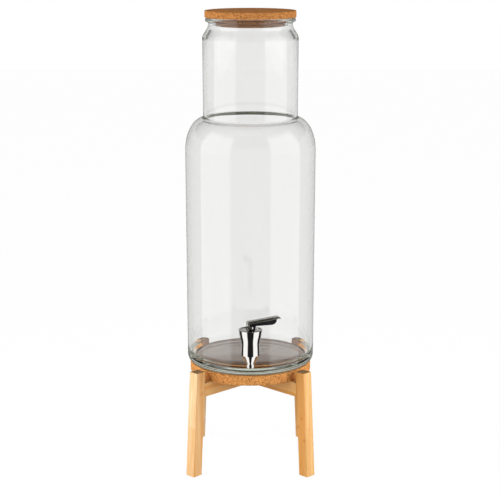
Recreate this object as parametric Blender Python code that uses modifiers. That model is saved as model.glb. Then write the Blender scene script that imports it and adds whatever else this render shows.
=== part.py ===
"""Countertop water dispenser: a glass jar with a cork lid and a sprung tap, on a bamboo cross stand.

Units are metres and +Z is up. The tap faces -Y. The origin is on the floor, under the middle of the whole
dispenser. The jar's axis lies behind it, because the tap stands out at the front. Heights that end in _Z
are above the floor, and heights in the jar's own outline are above its base.
"""

import math

import bmesh
import bpy
from mathutils import Matrix, Vector

MM = 0.001
GAP = 0.3 * MM  # between faces that touch

# Stand
LEG_WIDTH = 15.5 * MM
LEG_HEIGHT = 151.5 * MM
LEG_LEAN = math.radians(3.2)
MAT_TO_LEG = 10.5 * MM  # at the top of the leg
BAR_WIDTH = 15.0 * MM
BAR_HEIGHT = 20.0 * MM
BAR_BELOW_LEG_TOP = 17.0 * MM
DOWEL_RADIUS = 2.5 * MM
DOWEL_LENGTH = 21.4 * MM
DOWEL_IN_LEG = 10.0 * MM
DOWEL_SPACING = 9.6 * MM
MAT_INSIDE_BODY = 4.9 * MM  # how much smaller the mat is than the body
MAT_THICKNESS = 14.0 * MM

# Jar
JAR_SEGMENTS = 48
WALL = 3.9 * MM
FLOOR_THICKNESS = 8.9 * MM
PUNT_DEPTH = 1.6 * MM  # how far the middle of the base is pushed up
HEEL_WIDTH = 8.0 * MM
HEEL_HEIGHT = 10.5 * MM
FLOOR_FILLET = 12.0 * MM
BODY_RADIUS = 91.9 * MM  # at the shoulder
BODY_TAPER = 1.2 * MM  # how much narrower the body is at the heel
BODY_HEIGHT = 307.9 * MM
SHOULDER_HEIGHT = 44.9 * MM
SHOULDER_INSET = 2.2 * MM  # how far inside the neck the shoulder's curve starts
NECK_RADIUS = 67.0 * MM  # at its top
NECK_TAPER = 0.6 * MM
NECK_HEIGHT = 107.9 * MM
GROOVE_RADIUS = NECK_RADIUS - 8.3 * MM
GROOVE_RISE = 23.1 * MM  # from the top of the straight neck to the groove
LIP_RADIUS = GROOVE_RADIUS + 4.3 * MM
LIP_HEIGHT = 6.1 * MM
LIP_ABOVE_GROOVE = 7.5 * MM
MOUTH_RADIUS = GROOVE_RADIUS - 4.9 * MM

# Lid
LID_RADIUS = LIP_RADIUS + 0.7 * MM
LID_THICKNESS = 9.3 * MM
PLUG_RADIUS = MOUTH_RADIUS - 4.8 * MM
PLUG_DEPTH = 12.4 * MM
SEAL_HEIGHT = 7.0 * MM
SEAL_RIB = 1.2 * MM
SEAL_CLEARANCE = 0.4 * MM

# Tap body
TAP_SEGMENTS = 24
INLET_ABOVE_BASE = 53.3 * MM  # of the jar
TAP_TOP_RADIUS = 16.6 * MM
TAP_FLARE_RADIUS = 15.3 * MM
TAP_WAIST_RADIUS = 12.6 * MM
TAP_BELLY_RADIUS = 12.95 * MM
NOZZLE_RADIUS = 5.95 * MM
NOZZLE_BORE = 4.4 * MM
NOZZLE_LENGTH = 5.4 * MM
TAP_TOP_ABOVE_INLET = 22.4 * MM
FLARE_ABOVE_INLET = 14.8 * MM
BELLY_BELOW_INLET = 13.4 * MM
CONE_HEIGHT = 13.0 * MM
CHAMBER_RADIUS = 10.2 * MM
SEAT_BELOW_INLET = 12.5 * MM  # where the chamber narrows to the seat
SEAT_HEIGHT = 8.0 * MM
BOSS_REACH = 17.0 * MM  # from the tap's axis towards the jar

# Bonnet and seals
BONNET_RECESS = 0.9 * MM
BONNET_FLANGE_RADIUS = 14.4 * MM
BONNET_FLANGE = 1.9 * MM
BONNET_THREAD_RADIUS = 12.3 * MM
BONNET_THREAD = 6.7 * MM
BONNET_SEAL = 0.7 * MM
SEAL_GROOVE_HEIGHT = 2.4 * MM
STEM_SEAL_WIRE = 0.9 * MM

# Shank and clamp, from the boss towards the jar
SHANK_RADIUS = 8.0 * MM
SHANK_BORE = SHANK_RADIUS - 3.0 * MM
BOSS_RADIUS = SHANK_RADIUS + 2.4 * MM
TAP_HOLE_RADIUS = SHANK_RADIUS + 1.0 * MM
SHANK_IN_BOSS = 5.7 * MM
SHANK_PAST_NUT = 4.0 * MM
COLLAR_RADIUS = SHANK_RADIUS + 4.0 * MM
COLLAR_THICKNESS = 2.5 * MM
SHANK_SEAL_RADIUS = SHANK_RADIUS + 2.2 * MM
SHANK_SEAL_THICKNESS = 1.2 * MM
GASKET_RADIUS = SHANK_RADIUS + 4.3 * MM
GASKET_THICKNESS = 2.6 * MM
WASHER_RADIUS = SHANK_RADIUS + 4.0 * MM
WASHER_THICKNESS = 1.2 * MM
NUT_ACROSS_FLATS = 2 * SHANK_RADIUS + 6.0 * MM
NUT_THICKNESS = 5.0 * MM

# Valve
STEM_RADIUS = 2.5 * MM
STEM_FOOT_RADIUS = STEM_RADIUS + 1.7 * MM  # the disc that the silicone plug is stretched over
STEM_FOOT = 1.4 * MM
STEM_CLEARANCE = 0.4 * MM  # in the bonnet's hole
EYE_RADIUS = STEM_RADIUS + 0.35 * MM
EYE_THICKNESS = 2 * STEM_RADIUS
PIN_RADIUS = 1.5 * MM
PIN_HEAD_RADIUS = 2.1 * MM
PIN_HEAD = 0.5 * MM
PIN_ABOVE_BONNET = 4.0 * MM
CUP_RADIUS = 8.4 * MM
CUP_THICKNESS = 1.4 * MM
SEAT_PLUG_HEIGHT = 6.0 * MM
PLUG_FLOOR = 1.2 * MM
PLUG_RIM = 1.2 * MM
PLUG_ABOVE_SEAT = 1.0 * MM
SPRING_RADIUS = 6.0 * MM
SPRING_WIRE = 1.0 * MM
SPRING_TURNS = 6
SPRING_STEPS = 12

# Lever, along its own length from the pivot pin
LEVER_YAW = math.radians(16.0)
LEVER_WIDTH = 14.5 * MM
CORE_WIDTH = 13.8 * MM
LEVER_REAR = EYE_RADIUS + 1.35 * MM
FOOT_FRONT = EYE_RADIUS + 2.15 * MM
COVER_THICKNESS = 1.0 * MM
COVER_REACH = 42.0 * MM
COVER_ABOVE_PIN = 7.6 * MM
COVER_TILT = math.radians(6.3)
COVER_TIP = 3.5 * MM
COVER_TIP_DROP = 0.9 * MM
COVER_BEND = 2.0 * MM
CORE_REACH = 36.6 * MM
CORE_END_RADIUS = 8.4 * MM
CORE_CHAMFER = 1.0 * MM
UNDERSIDE_ABOVE_PIN = 2.9 * MM
UNDERSIDE_FILLET = 2.0 * MM

# Heights and places that follow from the sizes above
MAT_RADIUS = BODY_RADIUS - MAT_INSIDE_BODY
LEG_TOP_RADIUS = MAT_RADIUS + MAT_TO_LEG + LEG_WIDTH / 2 / math.cos(LEG_LEAN)
LEG_FOOT_RADIUS = LEG_TOP_RADIUS + LEG_HEIGHT * math.tan(LEG_LEAN)
BAR_TOP_Z = LEG_HEIGHT - BAR_BELOW_LEG_TOP
MAT_BOTTOM_Z = BAR_TOP_Z + GAP
JAR_BASE_Z = MAT_BOTTOM_Z + MAT_THICKNESS + GAP
SHOULDER_TOP = BODY_HEIGHT + SHOULDER_HEIGHT
NECK_TOP = SHOULDER_TOP + NECK_HEIGHT
GROOVE_LEVEL = NECK_TOP + GROOVE_RISE
JAR_HEIGHT = GROOVE_LEVEL + LIP_ABOVE_GROOVE
LID_BOTTOM_Z = JAR_BASE_Z + JAR_HEIGHT + GAP
INLET_Z = JAR_BASE_Z + INLET_ABOVE_BASE
TAP_TOP_Z = INLET_Z + TAP_TOP_ABOVE_INLET
BONNET_TOP_Z = TAP_TOP_Z - BONNET_RECESS
FLANGE_BOTTOM_Z = BONNET_TOP_Z - BONNET_FLANGE
SHOULDER_SEAT_Z = FLANGE_BOTTOM_Z - GAP - BONNET_SEAL - GAP
BONNET_BOTTOM_Z = FLANGE_BOTTOM_Z - BONNET_THREAD
THREAD_BOTTOM_Z = BONNET_BOTTOM_Z - GAP
BELLY_Z = INLET_Z - BELLY_BELOW_INLET
NOZZLE_TOP_Z = BELLY_Z - CONE_HEIGHT
NOZZLE_END_Z = NOZZLE_TOP_Z - NOZZLE_LENGTH
SEAT_TOP_Z = INLET_Z - SEAT_BELOW_INLET
SEAT_END_Z = SEAT_TOP_Z - SEAT_HEIGHT
PIN_Z = BONNET_TOP_Z + PIN_ABOVE_BONNET
SEAT_SLOPE = (CHAMBER_RADIUS - NOZZLE_BORE) / SEAT_HEIGHT
PLUG_TOP_Z = SEAT_TOP_Z + PLUG_ABOVE_SEAT
CUP_TOP_Z = PLUG_TOP_Z + GAP + CUP_THICKNESS


def body_radius_at(height):
    """The jar's outer radius at a height above its base, on the body's straight part."""
    low, high = HEEL_HEIGHT, BODY_HEIGHT
    return BODY_RADIUS - BODY_TAPER * (high - height) / (high - low)


GLASS_AT_TAP = body_radius_at(INLET_Z - JAR_BASE_Z)
SHANK_STACK = BOSS_REACH + SHANK_SEAL_THICKNESS + COLLAR_THICKNESS + GASKET_THICKNESS + 4 * GAP
TAP_OFFSET = GLASS_AT_TAP + SHANK_STACK
FOOT_CORNER = (LEG_FOOT_RADIUS + LEG_WIDTH / 2 / math.cos(LEG_LEAN) + LEG_WIDTH / 2) / math.sqrt(2)
JAR_Y = (TAP_OFFSET + TAP_TOP_RADIUS - max(BODY_RADIUS, FOOT_CORNER)) / 2


def clear_scene():
    for item in list(bpy.data.objects):
        bpy.data.objects.remove(item, do_unlink=True)


def new_collection(name):
    collection = bpy.data.collections.new(name)
    bpy.context.scene.collection.children.link(collection)
    return collection


def principled(name, colour, roughness, metallic=0.0, transmission=0.0):
    material = bpy.data.materials.new(name)
    material.use_nodes = True
    shader = material.node_tree.nodes["Principled BSDF"]
    shader.inputs["Base Color"].default_value = (*colour, 1.0)
    shader.inputs["Roughness"].default_value = roughness
    shader.inputs["Metallic"].default_value = metallic
    shader.inputs["Transmission Weight"].default_value = transmission
    return material


def frame(name, location, parent=None, turn=0.0):
    """An empty that the pieces of one body hang on."""
    empty = bpy.data.objects.new(name, None)
    empty.empty_display_size = 0.02
    empty.location = location
    empty.rotation_euler.z = turn
    empty.parent = parent
    parts.objects.link(empty)
    return empty


def place(name, data, parent, material=None, location=(0, 0, 0), turn=(0, 0, 0)):
    """A named piece, or a cutter when it has no material."""
    piece = bpy.data.objects.new(name, data)
    piece.parent = parent
    piece.location = location
    piece.rotation_euler = turn
    if material:
        data.materials.append(material)
        parts.objects.link(piece)
        return piece
    cutters.objects.link(piece)
    piece.hide_render = True
    piece.display_type = "WIRE"
    return piece


def boolean(piece, other, operation="DIFFERENCE"):
    step = piece.modifiers.new(operation.title(), "BOOLEAN")
    step.object = other
    step.operation = operation
    step.solver = "EXACT"


def baked(name, data, screw_steps=0):
    """The mesh of an outline turned round Z, or of a curve, with nothing else in the scene changed."""
    source = bpy.data.objects.new(name, data)
    parts.objects.link(source)
    if screw_steps:
        screw = source.modifiers.new("Turn", "SCREW")
        screw.steps = screw.render_steps = screw_steps
        screw.use_merge_vertices = True
        screw.merge_threshold = 0.00001
    bpy.context.view_layer.update()
    depsgraph = bpy.context.evaluated_depsgraph_get()
    mesh = bpy.data.meshes.new_from_object(source.evaluated_get(depsgraph))
    bpy.data.objects.remove(source)
    mesh.materials.clear()
    return mesh


def welded(mesh, turn=None):
    """Joins a curve's loose end caps on, and turns the mesh if asked."""
    shape = bmesh.new()
    shape.from_mesh(mesh)
    bmesh.ops.remove_doubles(shape, verts=shape.verts, dist=0.00001)
    if turn:
        bmesh.ops.rotate(shape, verts=shape.verts, matrix=turn)
    bmesh.ops.recalc_face_normals(shape, faces=shape.faces)
    shape.to_mesh(mesh)
    shape.free()
    return mesh


def shade_round(mesh):
    mesh.shade_smooth()
    mesh.set_sharp_from_angle(angle=math.radians(32))


def outline_mesh(name, points, closed):
    """Points (radius, height) joined by edges in the XZ plane."""
    mesh = bpy.data.meshes.new(name)
    edges = [(i, i + 1) for i in range(len(points) - 1)]
    if closed:
        edges.append((len(points) - 1, 0))
    mesh.from_pydata([(r, 0, z) for r, z in points], edges, [])
    return mesh


def turned(name, points, parent, material=None, closed=False, segments=TAP_SEGMENTS, **at):
    """A turned shape. The points run down its outer side, and back up inside a closed ring."""
    mesh = baked(name, outline_mesh(name, points, closed), segments)
    shade_round(mesh)
    return place(name, mesh, parent, material, **at)


def ring(name, inner, outer, low, high, parent, material, **options):
    """A flat ring between two radii and two heights."""
    points = [(inner, high), (outer, high), (outer, low), (inner, low)]
    return turned(name, points, parent, material, closed=True, **options)


def rod(name, radius, low, high, parent, material=None, **options):
    points = [(0, high), (radius, high), (radius, low), (0, low)]
    return turned(name, points, parent, material, **options)


def box(name, size, parent, material=None, shear=None, **at):
    """A cube primitive scaled to a size, and sheared if asked."""
    mesh = bpy.data.meshes.new(name)
    shape = bmesh.new()
    bmesh.ops.create_cube(shape, size=1.0)
    bmesh.ops.transform(shape, matrix=Matrix.Diagonal((*size, 1.0)), verts=shape.verts)
    if shear:
        bmesh.ops.transform(shape, matrix=shear, verts=shape.verts)
    shape.to_mesh(mesh)
    shape.free()
    return place(name, mesh, parent, material, **at)


def smoother_step(t):
    return t * t * t * (t * (6 * t - 15) + 10)


def ellipse(centre, half_width, half_height, start, end, steps):
    """Points on an ellipse between two angles in degrees, 0 pointing outwards and 90 up."""
    angles = [math.radians(start + (end - start) * i / steps) for i in range(steps + 1)]
    return [(centre[0] + half_width * math.cos(a), centre[1] + half_height * math.sin(a)) for a in angles]


def sweep_between(high, low, steps):
    """A soft S from one (radius, height) down to another, without its end points."""
    ts = [i / steps for i in range(1, steps)]
    return [(high[0] + (low[0] - high[0]) * smoother_step(t), high[1] + (low[1] - high[1]) * t) for t in ts]


def hermite(stations, steps):
    """A smooth curve down through (radius, height) stations, with level tangents only where it turns."""
    slopes = []
    for i, (r, z) in enumerate(stations):
        before = stations[max(i - 1, 0)]
        after = stations[min(i + 1, len(stations) - 1)]
        turning = 0 < i < len(stations) - 1 and (before[0] - r) * (r - after[0]) <= 0
        slopes.append(0.0 if turning else (after[0] - before[0]) / (after[1] - before[1]))
    points = [stations[0]]
    for (r0, z0), (r1, z1), m0, m1 in zip(stations, stations[1:], slopes, slopes[1:]):
        run = z1 - z0
        for i in range(1, steps + 1):
            t = i / steps
            radius = r0 + (r1 - r0) * t * t * (3 - 2 * t)
            radius += run * t * (1 - t) * (m0 * (1 - t) - m1 * t)
            points.append((radius, z0 + run * t))
    return points


# ---------------------------------------------------------------- stand

CORNERS = {"front_left": 225, "front_right": 315, "back_right": 45, "back_left": 135}


def leg_shear():
    """Leans a leg in as it rises, and leaves its foot and top level."""
    lean = Matrix.Identity(4)
    lean[0][2] = -math.tan(LEG_LEAN)
    return lean


def leg_face_radius(z):
    """How far a leg's inner face is from the jar's axis at a height."""
    centre = LEG_FOOT_RADIUS - z * math.tan(LEG_LEAN)
    return centre - LEG_WIDTH / 2 / math.cos(LEG_LEAN)


def leg_box(name, parent, material=None, grow=0.0):
    """A leg along +X, or the same shape grown on every side."""
    size = (LEG_WIDTH / math.cos(LEG_LEAN) + 2 * grow, LEG_WIDTH + 2 * grow, LEG_HEIGHT + 2 * grow)
    middle = LEG_FOOT_RADIUS - LEG_HEIGHT / 2 * math.tan(LEG_LEAN)
    return box(name, size, parent, material, leg_shear(), location=(middle, 0, LEG_HEIGHT / 2))


def dowel_heights():
    middle = BAR_TOP_Z - BAR_HEIGHT / 2
    return {"low": middle - DOWEL_SPACING / 2, "high": middle + DOWEL_SPACING / 2}


def lying_rod(name, radius, start, length, z, parent, material=None):
    """A rod that runs out along +X from a distance, at a height."""
    turn = (0, math.radians(90), 0)
    return rod(name, radius, 0, length, parent, material, segments=16, location=(start, 0, z), turn=turn)


def make_leg(corner, angle, stand):
    arm = frame(f"arm_{corner}", (0, 0, 0), stand, math.radians(angle))
    leg = leg_box(f"leg_{corner}", arm, bamboo)
    socket = leg_box(f"socket_{corner}", arm, grow=GAP)
    holes = []
    for level, z in dowel_heights().items():
        start = leg_face_radius(z) + DOWEL_IN_LEG - DOWEL_LENGTH
        lying_rod(f"dowel_{corner}_{level}", DOWEL_RADIUS, start, DOWEL_LENGTH, z, arm, dowel_wood)
        hole = lying_rod(f"dowel_hole_{corner}_{level}", DOWEL_RADIUS + GAP, start - GAP,
                         DOWEL_LENGTH + 2 * GAP, z, arm)
        boolean(leg, hole)
        holes.append(hole)
    return socket, holes


def make_bar(name, angle, notch_on_top, sockets, holes, stand):
    """A bar right across the stand, notched at its middle and cut by the legs at its ends."""
    arm = frame(f"{name}_line", (0, 0, 0), stand, math.radians(angle))
    middle_z = BAR_TOP_Z - BAR_HEIGHT / 2
    reach = 2 * (LEG_FOOT_RADIUS - middle_z * math.tan(LEG_LEAN))
    bar = box(name, (reach, BAR_WIDTH, BAR_HEIGHT), arm, bamboo, location=(0, 0, middle_z))
    side = 1 if notch_on_top else -1
    notch_size = (BAR_WIDTH + 2 * GAP, 2 * BAR_WIDTH, BAR_HEIGHT)
    notch_z = middle_z + side * (BAR_HEIGHT - GAP) / 2
    notch = box(f"{name}_notch", notch_size, arm, location=(0, 0, notch_z))
    for cutter in (notch, *sockets, *holes):
        boolean(bar, cutter)


def make_stand():
    stand = frame("stand_frame", (0, JAR_Y, 0))
    fits = {corner: make_leg(corner, angle, stand) for corner, angle in CORNERS.items()}
    bars = (("cross_bar_lower", 45, True, ("back_right", "front_left")),
            ("cross_bar_upper", 135, False, ("back_left", "front_right")))
    for name, angle, on_top, ends in bars:
        sockets = [fits[end][0] for end in ends]
        holes = [hole for end in ends for hole in fits[end][1]]
        make_bar(name, angle, on_top, sockets, holes, stand)
    rod("cork_mat", MAT_RADIUS, MAT_BOTTOM_Z, MAT_BOTTOM_Z + MAT_THICKNESS, stand, cork,
        segments=JAR_SEGMENTS)


# ---------------------------------------------------------------- jar

def jar_outside():
    """The jar's outer outline from the lip down to the middle of its base."""
    lip_middle = JAR_HEIGHT - LIP_HEIGHT / 2
    edge = LIP_HEIGHT / 2
    points = ellipse((LIP_RADIUS - edge, lip_middle), edge, edge, 90, -90, 4)
    points += [(GROOVE_RADIUS, GROOVE_LEVEL)]
    points += sweep_between((GROOVE_RADIUS, GROOVE_LEVEL), (NECK_RADIUS, NECK_TOP), 6)
    points += [(NECK_RADIUS, NECK_TOP)]
    neck_foot = NECK_RADIUS - NECK_TAPER
    # The shoulder is a quarter of an ellipse that starts a little inside the neck.
    width = BODY_RADIUS - neck_foot + SHOULDER_INSET
    start = math.degrees(math.acos(SHOULDER_INSET / width))
    points += ellipse((BODY_RADIUS - width, BODY_HEIGHT), width, SHOULDER_HEIGHT, start, 0, 7)
    heel_radius = BODY_RADIUS - BODY_TAPER
    points += ellipse((heel_radius - HEEL_WIDTH, HEEL_HEIGHT), HEEL_WIDTH, HEEL_HEIGHT, 0, -90, 4)
    return points + [(0, PUNT_DEPTH)]


def jar_inside():
    """The jar's inner outline from the middle of its floor up to the mouth."""
    foot_radius = body_radius_at(HEEL_HEIGHT) - WALL
    corner = (foot_radius - FLOOR_FILLET, FLOOR_THICKNESS + FLOOR_FILLET)
    points = [(0, FLOOR_THICKNESS)]
    points += ellipse(corner, FLOOR_FILLET, FLOOR_FILLET, -90, 0, 4)
    neck = NECK_RADIUS - WALL
    neck_foot = neck - NECK_TAPER
    width = BODY_RADIUS - WALL - neck_foot + SHOULDER_INSET
    end = math.degrees(math.acos(SHOULDER_INSET / width))
    points += ellipse((neck_foot - SHOULDER_INSET, BODY_HEIGHT), width, SHOULDER_HEIGHT - WALL, 0, end, 6)
    neck_end = (neck, NECK_TOP - WALL / 2)
    mouth_start = (MOUTH_RADIUS, GROOVE_LEVEL - WALL)
    points += [neck_end]
    points += sweep_between(neck_end, mouth_start, 5)
    edge = LIP_HEIGHT / 4
    points += [mouth_start]
    points += ellipse((MOUTH_RADIUS + edge, JAR_HEIGHT - edge), -edge, edge, 0, 90, 2)
    return points


def clamp_turn(points, name, material, parent, segments=TAP_SEGMENTS):
    """A piece turned about the line of the shank. Its heights are distances from the tap's axis."""
    at = dict(location=(0, 0, INLET_Z), turn=(math.radians(-90), 0, 0))
    return turned(name, points, parent, material, closed=True, segments=segments, **at)


def ring_outline(inner, outer, near, far):
    return [(inner, far), (outer, far), (outer, near), (inner, near)]


def glass_cylinder(name, radius, jar):
    """The jar's wall by the tap as a cylinder, to shape what bears on it."""
    half = 2 * GASKET_RADIUS
    return rod(name, radius, INLET_Z - half, INLET_Z + half, jar, segments=JAR_SEGMENTS)


def make_jar(jar, tap):
    # One line: up the inside from the floor to the mouth, then down the outside to the base.
    line = [(r, z + JAR_BASE_Z) for r, z in jar_inside() + jar_outside()]
    glass_jar = turned("glass_jar", line, jar, glass, segments=JAR_SEGMENTS)
    hole = clamp_turn([(0, SHANK_STACK + 3 * WALL), (TAP_HOLE_RADIUS, SHANK_STACK + 3 * WALL),
                       (TAP_HOLE_RADIUS, SHANK_STACK - 2 * WALL), (0, SHANK_STACK - 2 * WALL)],
                      "tap_hole", None, tap)
    boolean(glass_jar, hole)


def make_clamp(jar, tap):
    """The shank through the glass, and what clamps and seals it."""
    hole = SHANK_RADIUS + GAP
    seal_near = BOSS_REACH + GAP
    seal_far = seal_near + SHANK_SEAL_THICKNESS
    collar_near = seal_far + GAP
    collar_far = collar_near + COLLAR_THICKNESS
    gasket_near = collar_far + GAP
    glass_far = SHANK_STACK + WALL
    inner_far = glass_far + GAP + GASKET_THICKNESS
    washer_near = inner_far + GAP
    washer_far = washer_near + WASHER_THICKNESS
    nut_near = washer_far + GAP
    nut_far = nut_near + NUT_THICKNESS
    shank_near = BOSS_REACH - SHANK_IN_BOSS
    shank_far = nut_far + SHANK_PAST_NUT

    clamp_turn(ring_outline(hole, SHANK_SEAL_RADIUS, seal_near, seal_far), "shank_seal", silicone, tap)
    shank = [(SHANK_BORE, shank_far), (SHANK_RADIUS, shank_far), (SHANK_RADIUS, collar_far),
             (COLLAR_RADIUS, collar_far), (COLLAR_RADIUS, collar_near), (SHANK_RADIUS, collar_near),
             (SHANK_RADIUS, shank_near), (SHANK_BORE, shank_near)]
    clamp_turn(shank, "inlet_shank", steel, tap)

    outer = clamp_turn(ring_outline(hole, GASKET_RADIUS, gasket_near, SHANK_STACK + WALL / 2),
                       "outer_gasket", silicone, tap)
    boolean(outer, glass_cylinder("glass_outer_face", GLASS_AT_TAP + GAP, jar))
    inner = clamp_turn(ring_outline(hole, GASKET_RADIUS, SHANK_STACK + WALL / 2, inner_far),
                       "inner_gasket", silicone, tap)
    boolean(inner, glass_cylinder("glass_inner_face", GLASS_AT_TAP - WALL - GAP, jar), "INTERSECT")
    clamp_turn(ring_outline(hole, WASHER_RADIUS, washer_near, washer_far), "clamp_washer", steel, tap)

    corner = NUT_ACROSS_FLATS / math.sqrt(3)
    nut = clamp_turn([(0, nut_far), (corner, nut_far), (corner, nut_near), (0, nut_near)],
                     "lock_nut", steel, tap, segments=6)
    nut_hole = clamp_turn([(0, nut_far + GAP), (hole, nut_far + GAP), (hole, nut_near - GAP),
                           (0, nut_near - GAP)], "nut_hole", None, tap)
    boolean(nut, nut_hole)


# ---------------------------------------------------------------- tap

def make_tap_body(tap):
    stations = [(TAP_TOP_RADIUS, TAP_TOP_Z), (TAP_FLARE_RADIUS, INLET_Z + FLARE_ABOVE_INLET),
                (TAP_WAIST_RADIUS, INLET_Z), (TAP_BELLY_RADIUS, BELLY_Z)]
    outside = hermite(stations, 4)
    outside += [(NOZZLE_RADIUS, NOZZLE_TOP_Z), (NOZZLE_RADIUS, NOZZLE_END_Z), (0, NOZZLE_END_Z)]
    body = turned("tap_body", [(0, TAP_TOP_Z)] + outside, tap, steel)
    boss = [(0, BOSS_REACH), (BOSS_RADIUS, BOSS_REACH), (BOSS_RADIUS, 0), (0, 0)]
    boolean(body, clamp_turn(boss, "boss", None, tap), "UNION")

    recess = BONNET_FLANGE_RADIUS + GAP
    thread = BONNET_THREAD_RADIUS + GAP
    above = TAP_TOP_Z + WALL
    below = NOZZLE_END_Z - WALL
    chamber = [(0, above), (recess, above), (recess, SHOULDER_SEAT_Z), (thread, SHOULDER_SEAT_Z),
               (thread, THREAD_BOTTOM_Z), (CHAMBER_RADIUS, THREAD_BOTTOM_Z),
               (CHAMBER_RADIUS, SEAT_TOP_Z), (NOZZLE_BORE, SEAT_END_Z), (NOZZLE_BORE, below), (0, below)]
    boolean(body, turned("chamber", chamber, tap))
    port = SHANK_RADIUS + GAP
    port_near = BOSS_REACH - SHANK_IN_BOSS - GAP
    port_far = BOSS_REACH + WALL
    boolean(body, clamp_turn([(0, port_far), (port, port_far), (port, port_near), (0, port_near)],
                             "port", None, tap))
    boolean(body, clamp_turn([(0, BOSS_REACH), (SHANK_BORE, BOSS_REACH), (SHANK_BORE, 0), (0, 0)],
                             "inlet", None, tap))


def make_bonnet(tap):
    hole = STEM_RADIUS + STEM_CLEARANCE
    groove = hole + 2 * STEM_SEAL_WIRE + 2 * GAP
    groove_middle = (BONNET_TOP_Z + BONNET_BOTTOM_Z) / 2
    groove_high = groove_middle + SEAL_GROOVE_HEIGHT / 2
    groove_low = groove_middle - SEAL_GROOVE_HEIGHT / 2
    points = [(hole, BONNET_TOP_Z), (BONNET_FLANGE_RADIUS, BONNET_TOP_Z),
              (BONNET_FLANGE_RADIUS, FLANGE_BOTTOM_Z), (BONNET_THREAD_RADIUS, FLANGE_BOTTOM_Z),
              (BONNET_THREAD_RADIUS, BONNET_BOTTOM_Z), (hole, BONNET_BOTTOM_Z), (hole, groove_low),
              (groove, groove_low), (groove, groove_high), (hole, groove_high)]
    turned("bonnet", points, tap, steel, closed=True)
    ring("bonnet_seal", BONNET_THREAD_RADIUS + GAP, BONNET_FLANGE_RADIUS, SHOULDER_SEAT_Z + GAP,
         FLANGE_BOTTOM_Z - GAP, tap, silicone)
    wire_middle = (STEM_RADIUS + GAP + STEM_SEAL_WIRE, groove_middle)
    wire = ellipse(wire_middle, STEM_SEAL_WIRE, STEM_SEAL_WIRE, 90, -225, 7)
    turned("stem_seal", wire, tap, silicone, closed=True)


def curve_tube(name, points, radius, parent, material):
    """A closed tube along points, as a mesh with its end caps joined on."""
    curve = bpy.data.curves.new(name, "CURVE")
    curve.dimensions = "3D"
    curve.bevel_depth = radius
    curve.bevel_resolution = 1
    curve.use_fill_caps = True
    spline = curve.splines.new("POLY")
    spline.points.add(len(points) - 1)
    for knot, point in zip(spline.points, points):
        knot.co = (*point, 1.0)
    mesh = welded(baked(name, curve))
    shade_round(mesh)
    return place(name, mesh, parent, material)


def spring_height(turn):
    """The height of the spring's wire after some turns: a closed turn at each end."""
    low = CUP_TOP_Z + GAP + SPRING_WIRE / 2
    high = BONNET_BOTTOM_Z - GAP - SPRING_WIRE / 2
    closed = 1.1 * SPRING_WIRE
    rise = (high - low - 2 * closed) / (SPRING_TURNS - 2)
    if turn < 1:
        return low + closed * turn
    if turn > SPRING_TURNS - 1:
        return high - closed * (SPRING_TURNS - turn)
    return low + closed + rise * (turn - 1)


def make_spring(tap):
    count = SPRING_TURNS * SPRING_STEPS
    turns = [i / SPRING_STEPS for i in range(count + 1)]
    points = [Vector((SPRING_RADIUS * math.cos(math.tau * t), SPRING_RADIUS * math.sin(math.tau * t),
                      spring_height(t))) for t in turns]
    curve_tube("return_spring", points, SPRING_WIRE / 2, tap, steel)


def make_plunger(plunger):
    """The steel cup and the silicone cone, which rise off the seat. Returns the cone's inner floor."""
    hole = STEM_RADIUS + GAP
    ring("spring_seat", hole, CUP_RADIUS, CUP_TOP_Z - CUP_THICKNESS, CUP_TOP_Z, plunger, steel)
    gap_out = GAP * math.hypot(1, SEAT_SLOPE)
    top_radius = CHAMBER_RADIUS - gap_out - PLUG_RIM
    cone_high = SEAT_TOP_Z - PLUG_RIM / SEAT_SLOPE
    cone_low = PLUG_TOP_Z - SEAT_PLUG_HEIGHT
    low_radius = top_radius - (cone_high - cone_low) * SEAT_SLOPE
    foot = cone_low + PLUG_FLOOR
    pocket = STEM_FOOT_RADIUS + GAP
    pocket_high = foot + STEM_FOOT + 2 * GAP
    outline = [(0, foot), (pocket, foot), (pocket, pocket_high), (hole, pocket_high),
               (hole, PLUG_TOP_Z), (top_radius, PLUG_TOP_Z), (top_radius, cone_high),
               (low_radius, cone_low), (0, cone_low)]
    turned("seat_plug", outline, plunger, silicone)
    return foot


def make_stem(stem, plug_foot):
    low = plug_foot + GAP
    foot_top = low + STEM_FOOT
    outline = [(0, PIN_Z), (STEM_RADIUS, PIN_Z), (STEM_RADIUS, foot_top), (STEM_FOOT_RADIUS, foot_top),
               (STEM_FOOT_RADIUS, low), (0, low)]
    shaft = turned("stem", outline, stem, steel)
    eye = rod("stem_eye", EYE_RADIUS, -EYE_THICKNESS / 2, EYE_THICKNESS / 2, stem,
              location=(0, 0, PIN_Z), turn=(math.radians(90), 0, 0))
    boolean(shaft, eye, "UNION")
    hole = rod("pin_hole", PIN_RADIUS + GAP, -CORE_WIDTH, CORE_WIDTH, stem,
               location=(0, 0, PIN_Z), turn=(math.radians(90), 0, 0))
    cheek_size = (3 * EYE_RADIUS, 2 * EYE_RADIUS, 2 * EYE_RADIUS + GAP)
    for side in (-1, 1):
        across = side * (EYE_THICKNESS / 2 + EYE_RADIUS)
        at = (0, across, PIN_Z)
        boolean(shaft, box(f"eye_flat_{'near' if side < 0 else 'far'}", cheek_size, stem, location=at))
    boolean(shaft, hole)
    inside = CORE_WIDTH / 2 + GAP
    end = inside + PIN_HEAD
    pin = [(0, end), (PIN_HEAD_RADIUS, end), (PIN_HEAD_RADIUS, inside), (PIN_RADIUS, inside)]
    pin += [(r, -z) for r, z in reversed(pin)]
    turned("pivot_pin", pin, stem, steel, location=(0, 0, PIN_Z), turn=(math.radians(90), 0, 0))


# ---------------------------------------------------------------- lever

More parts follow.
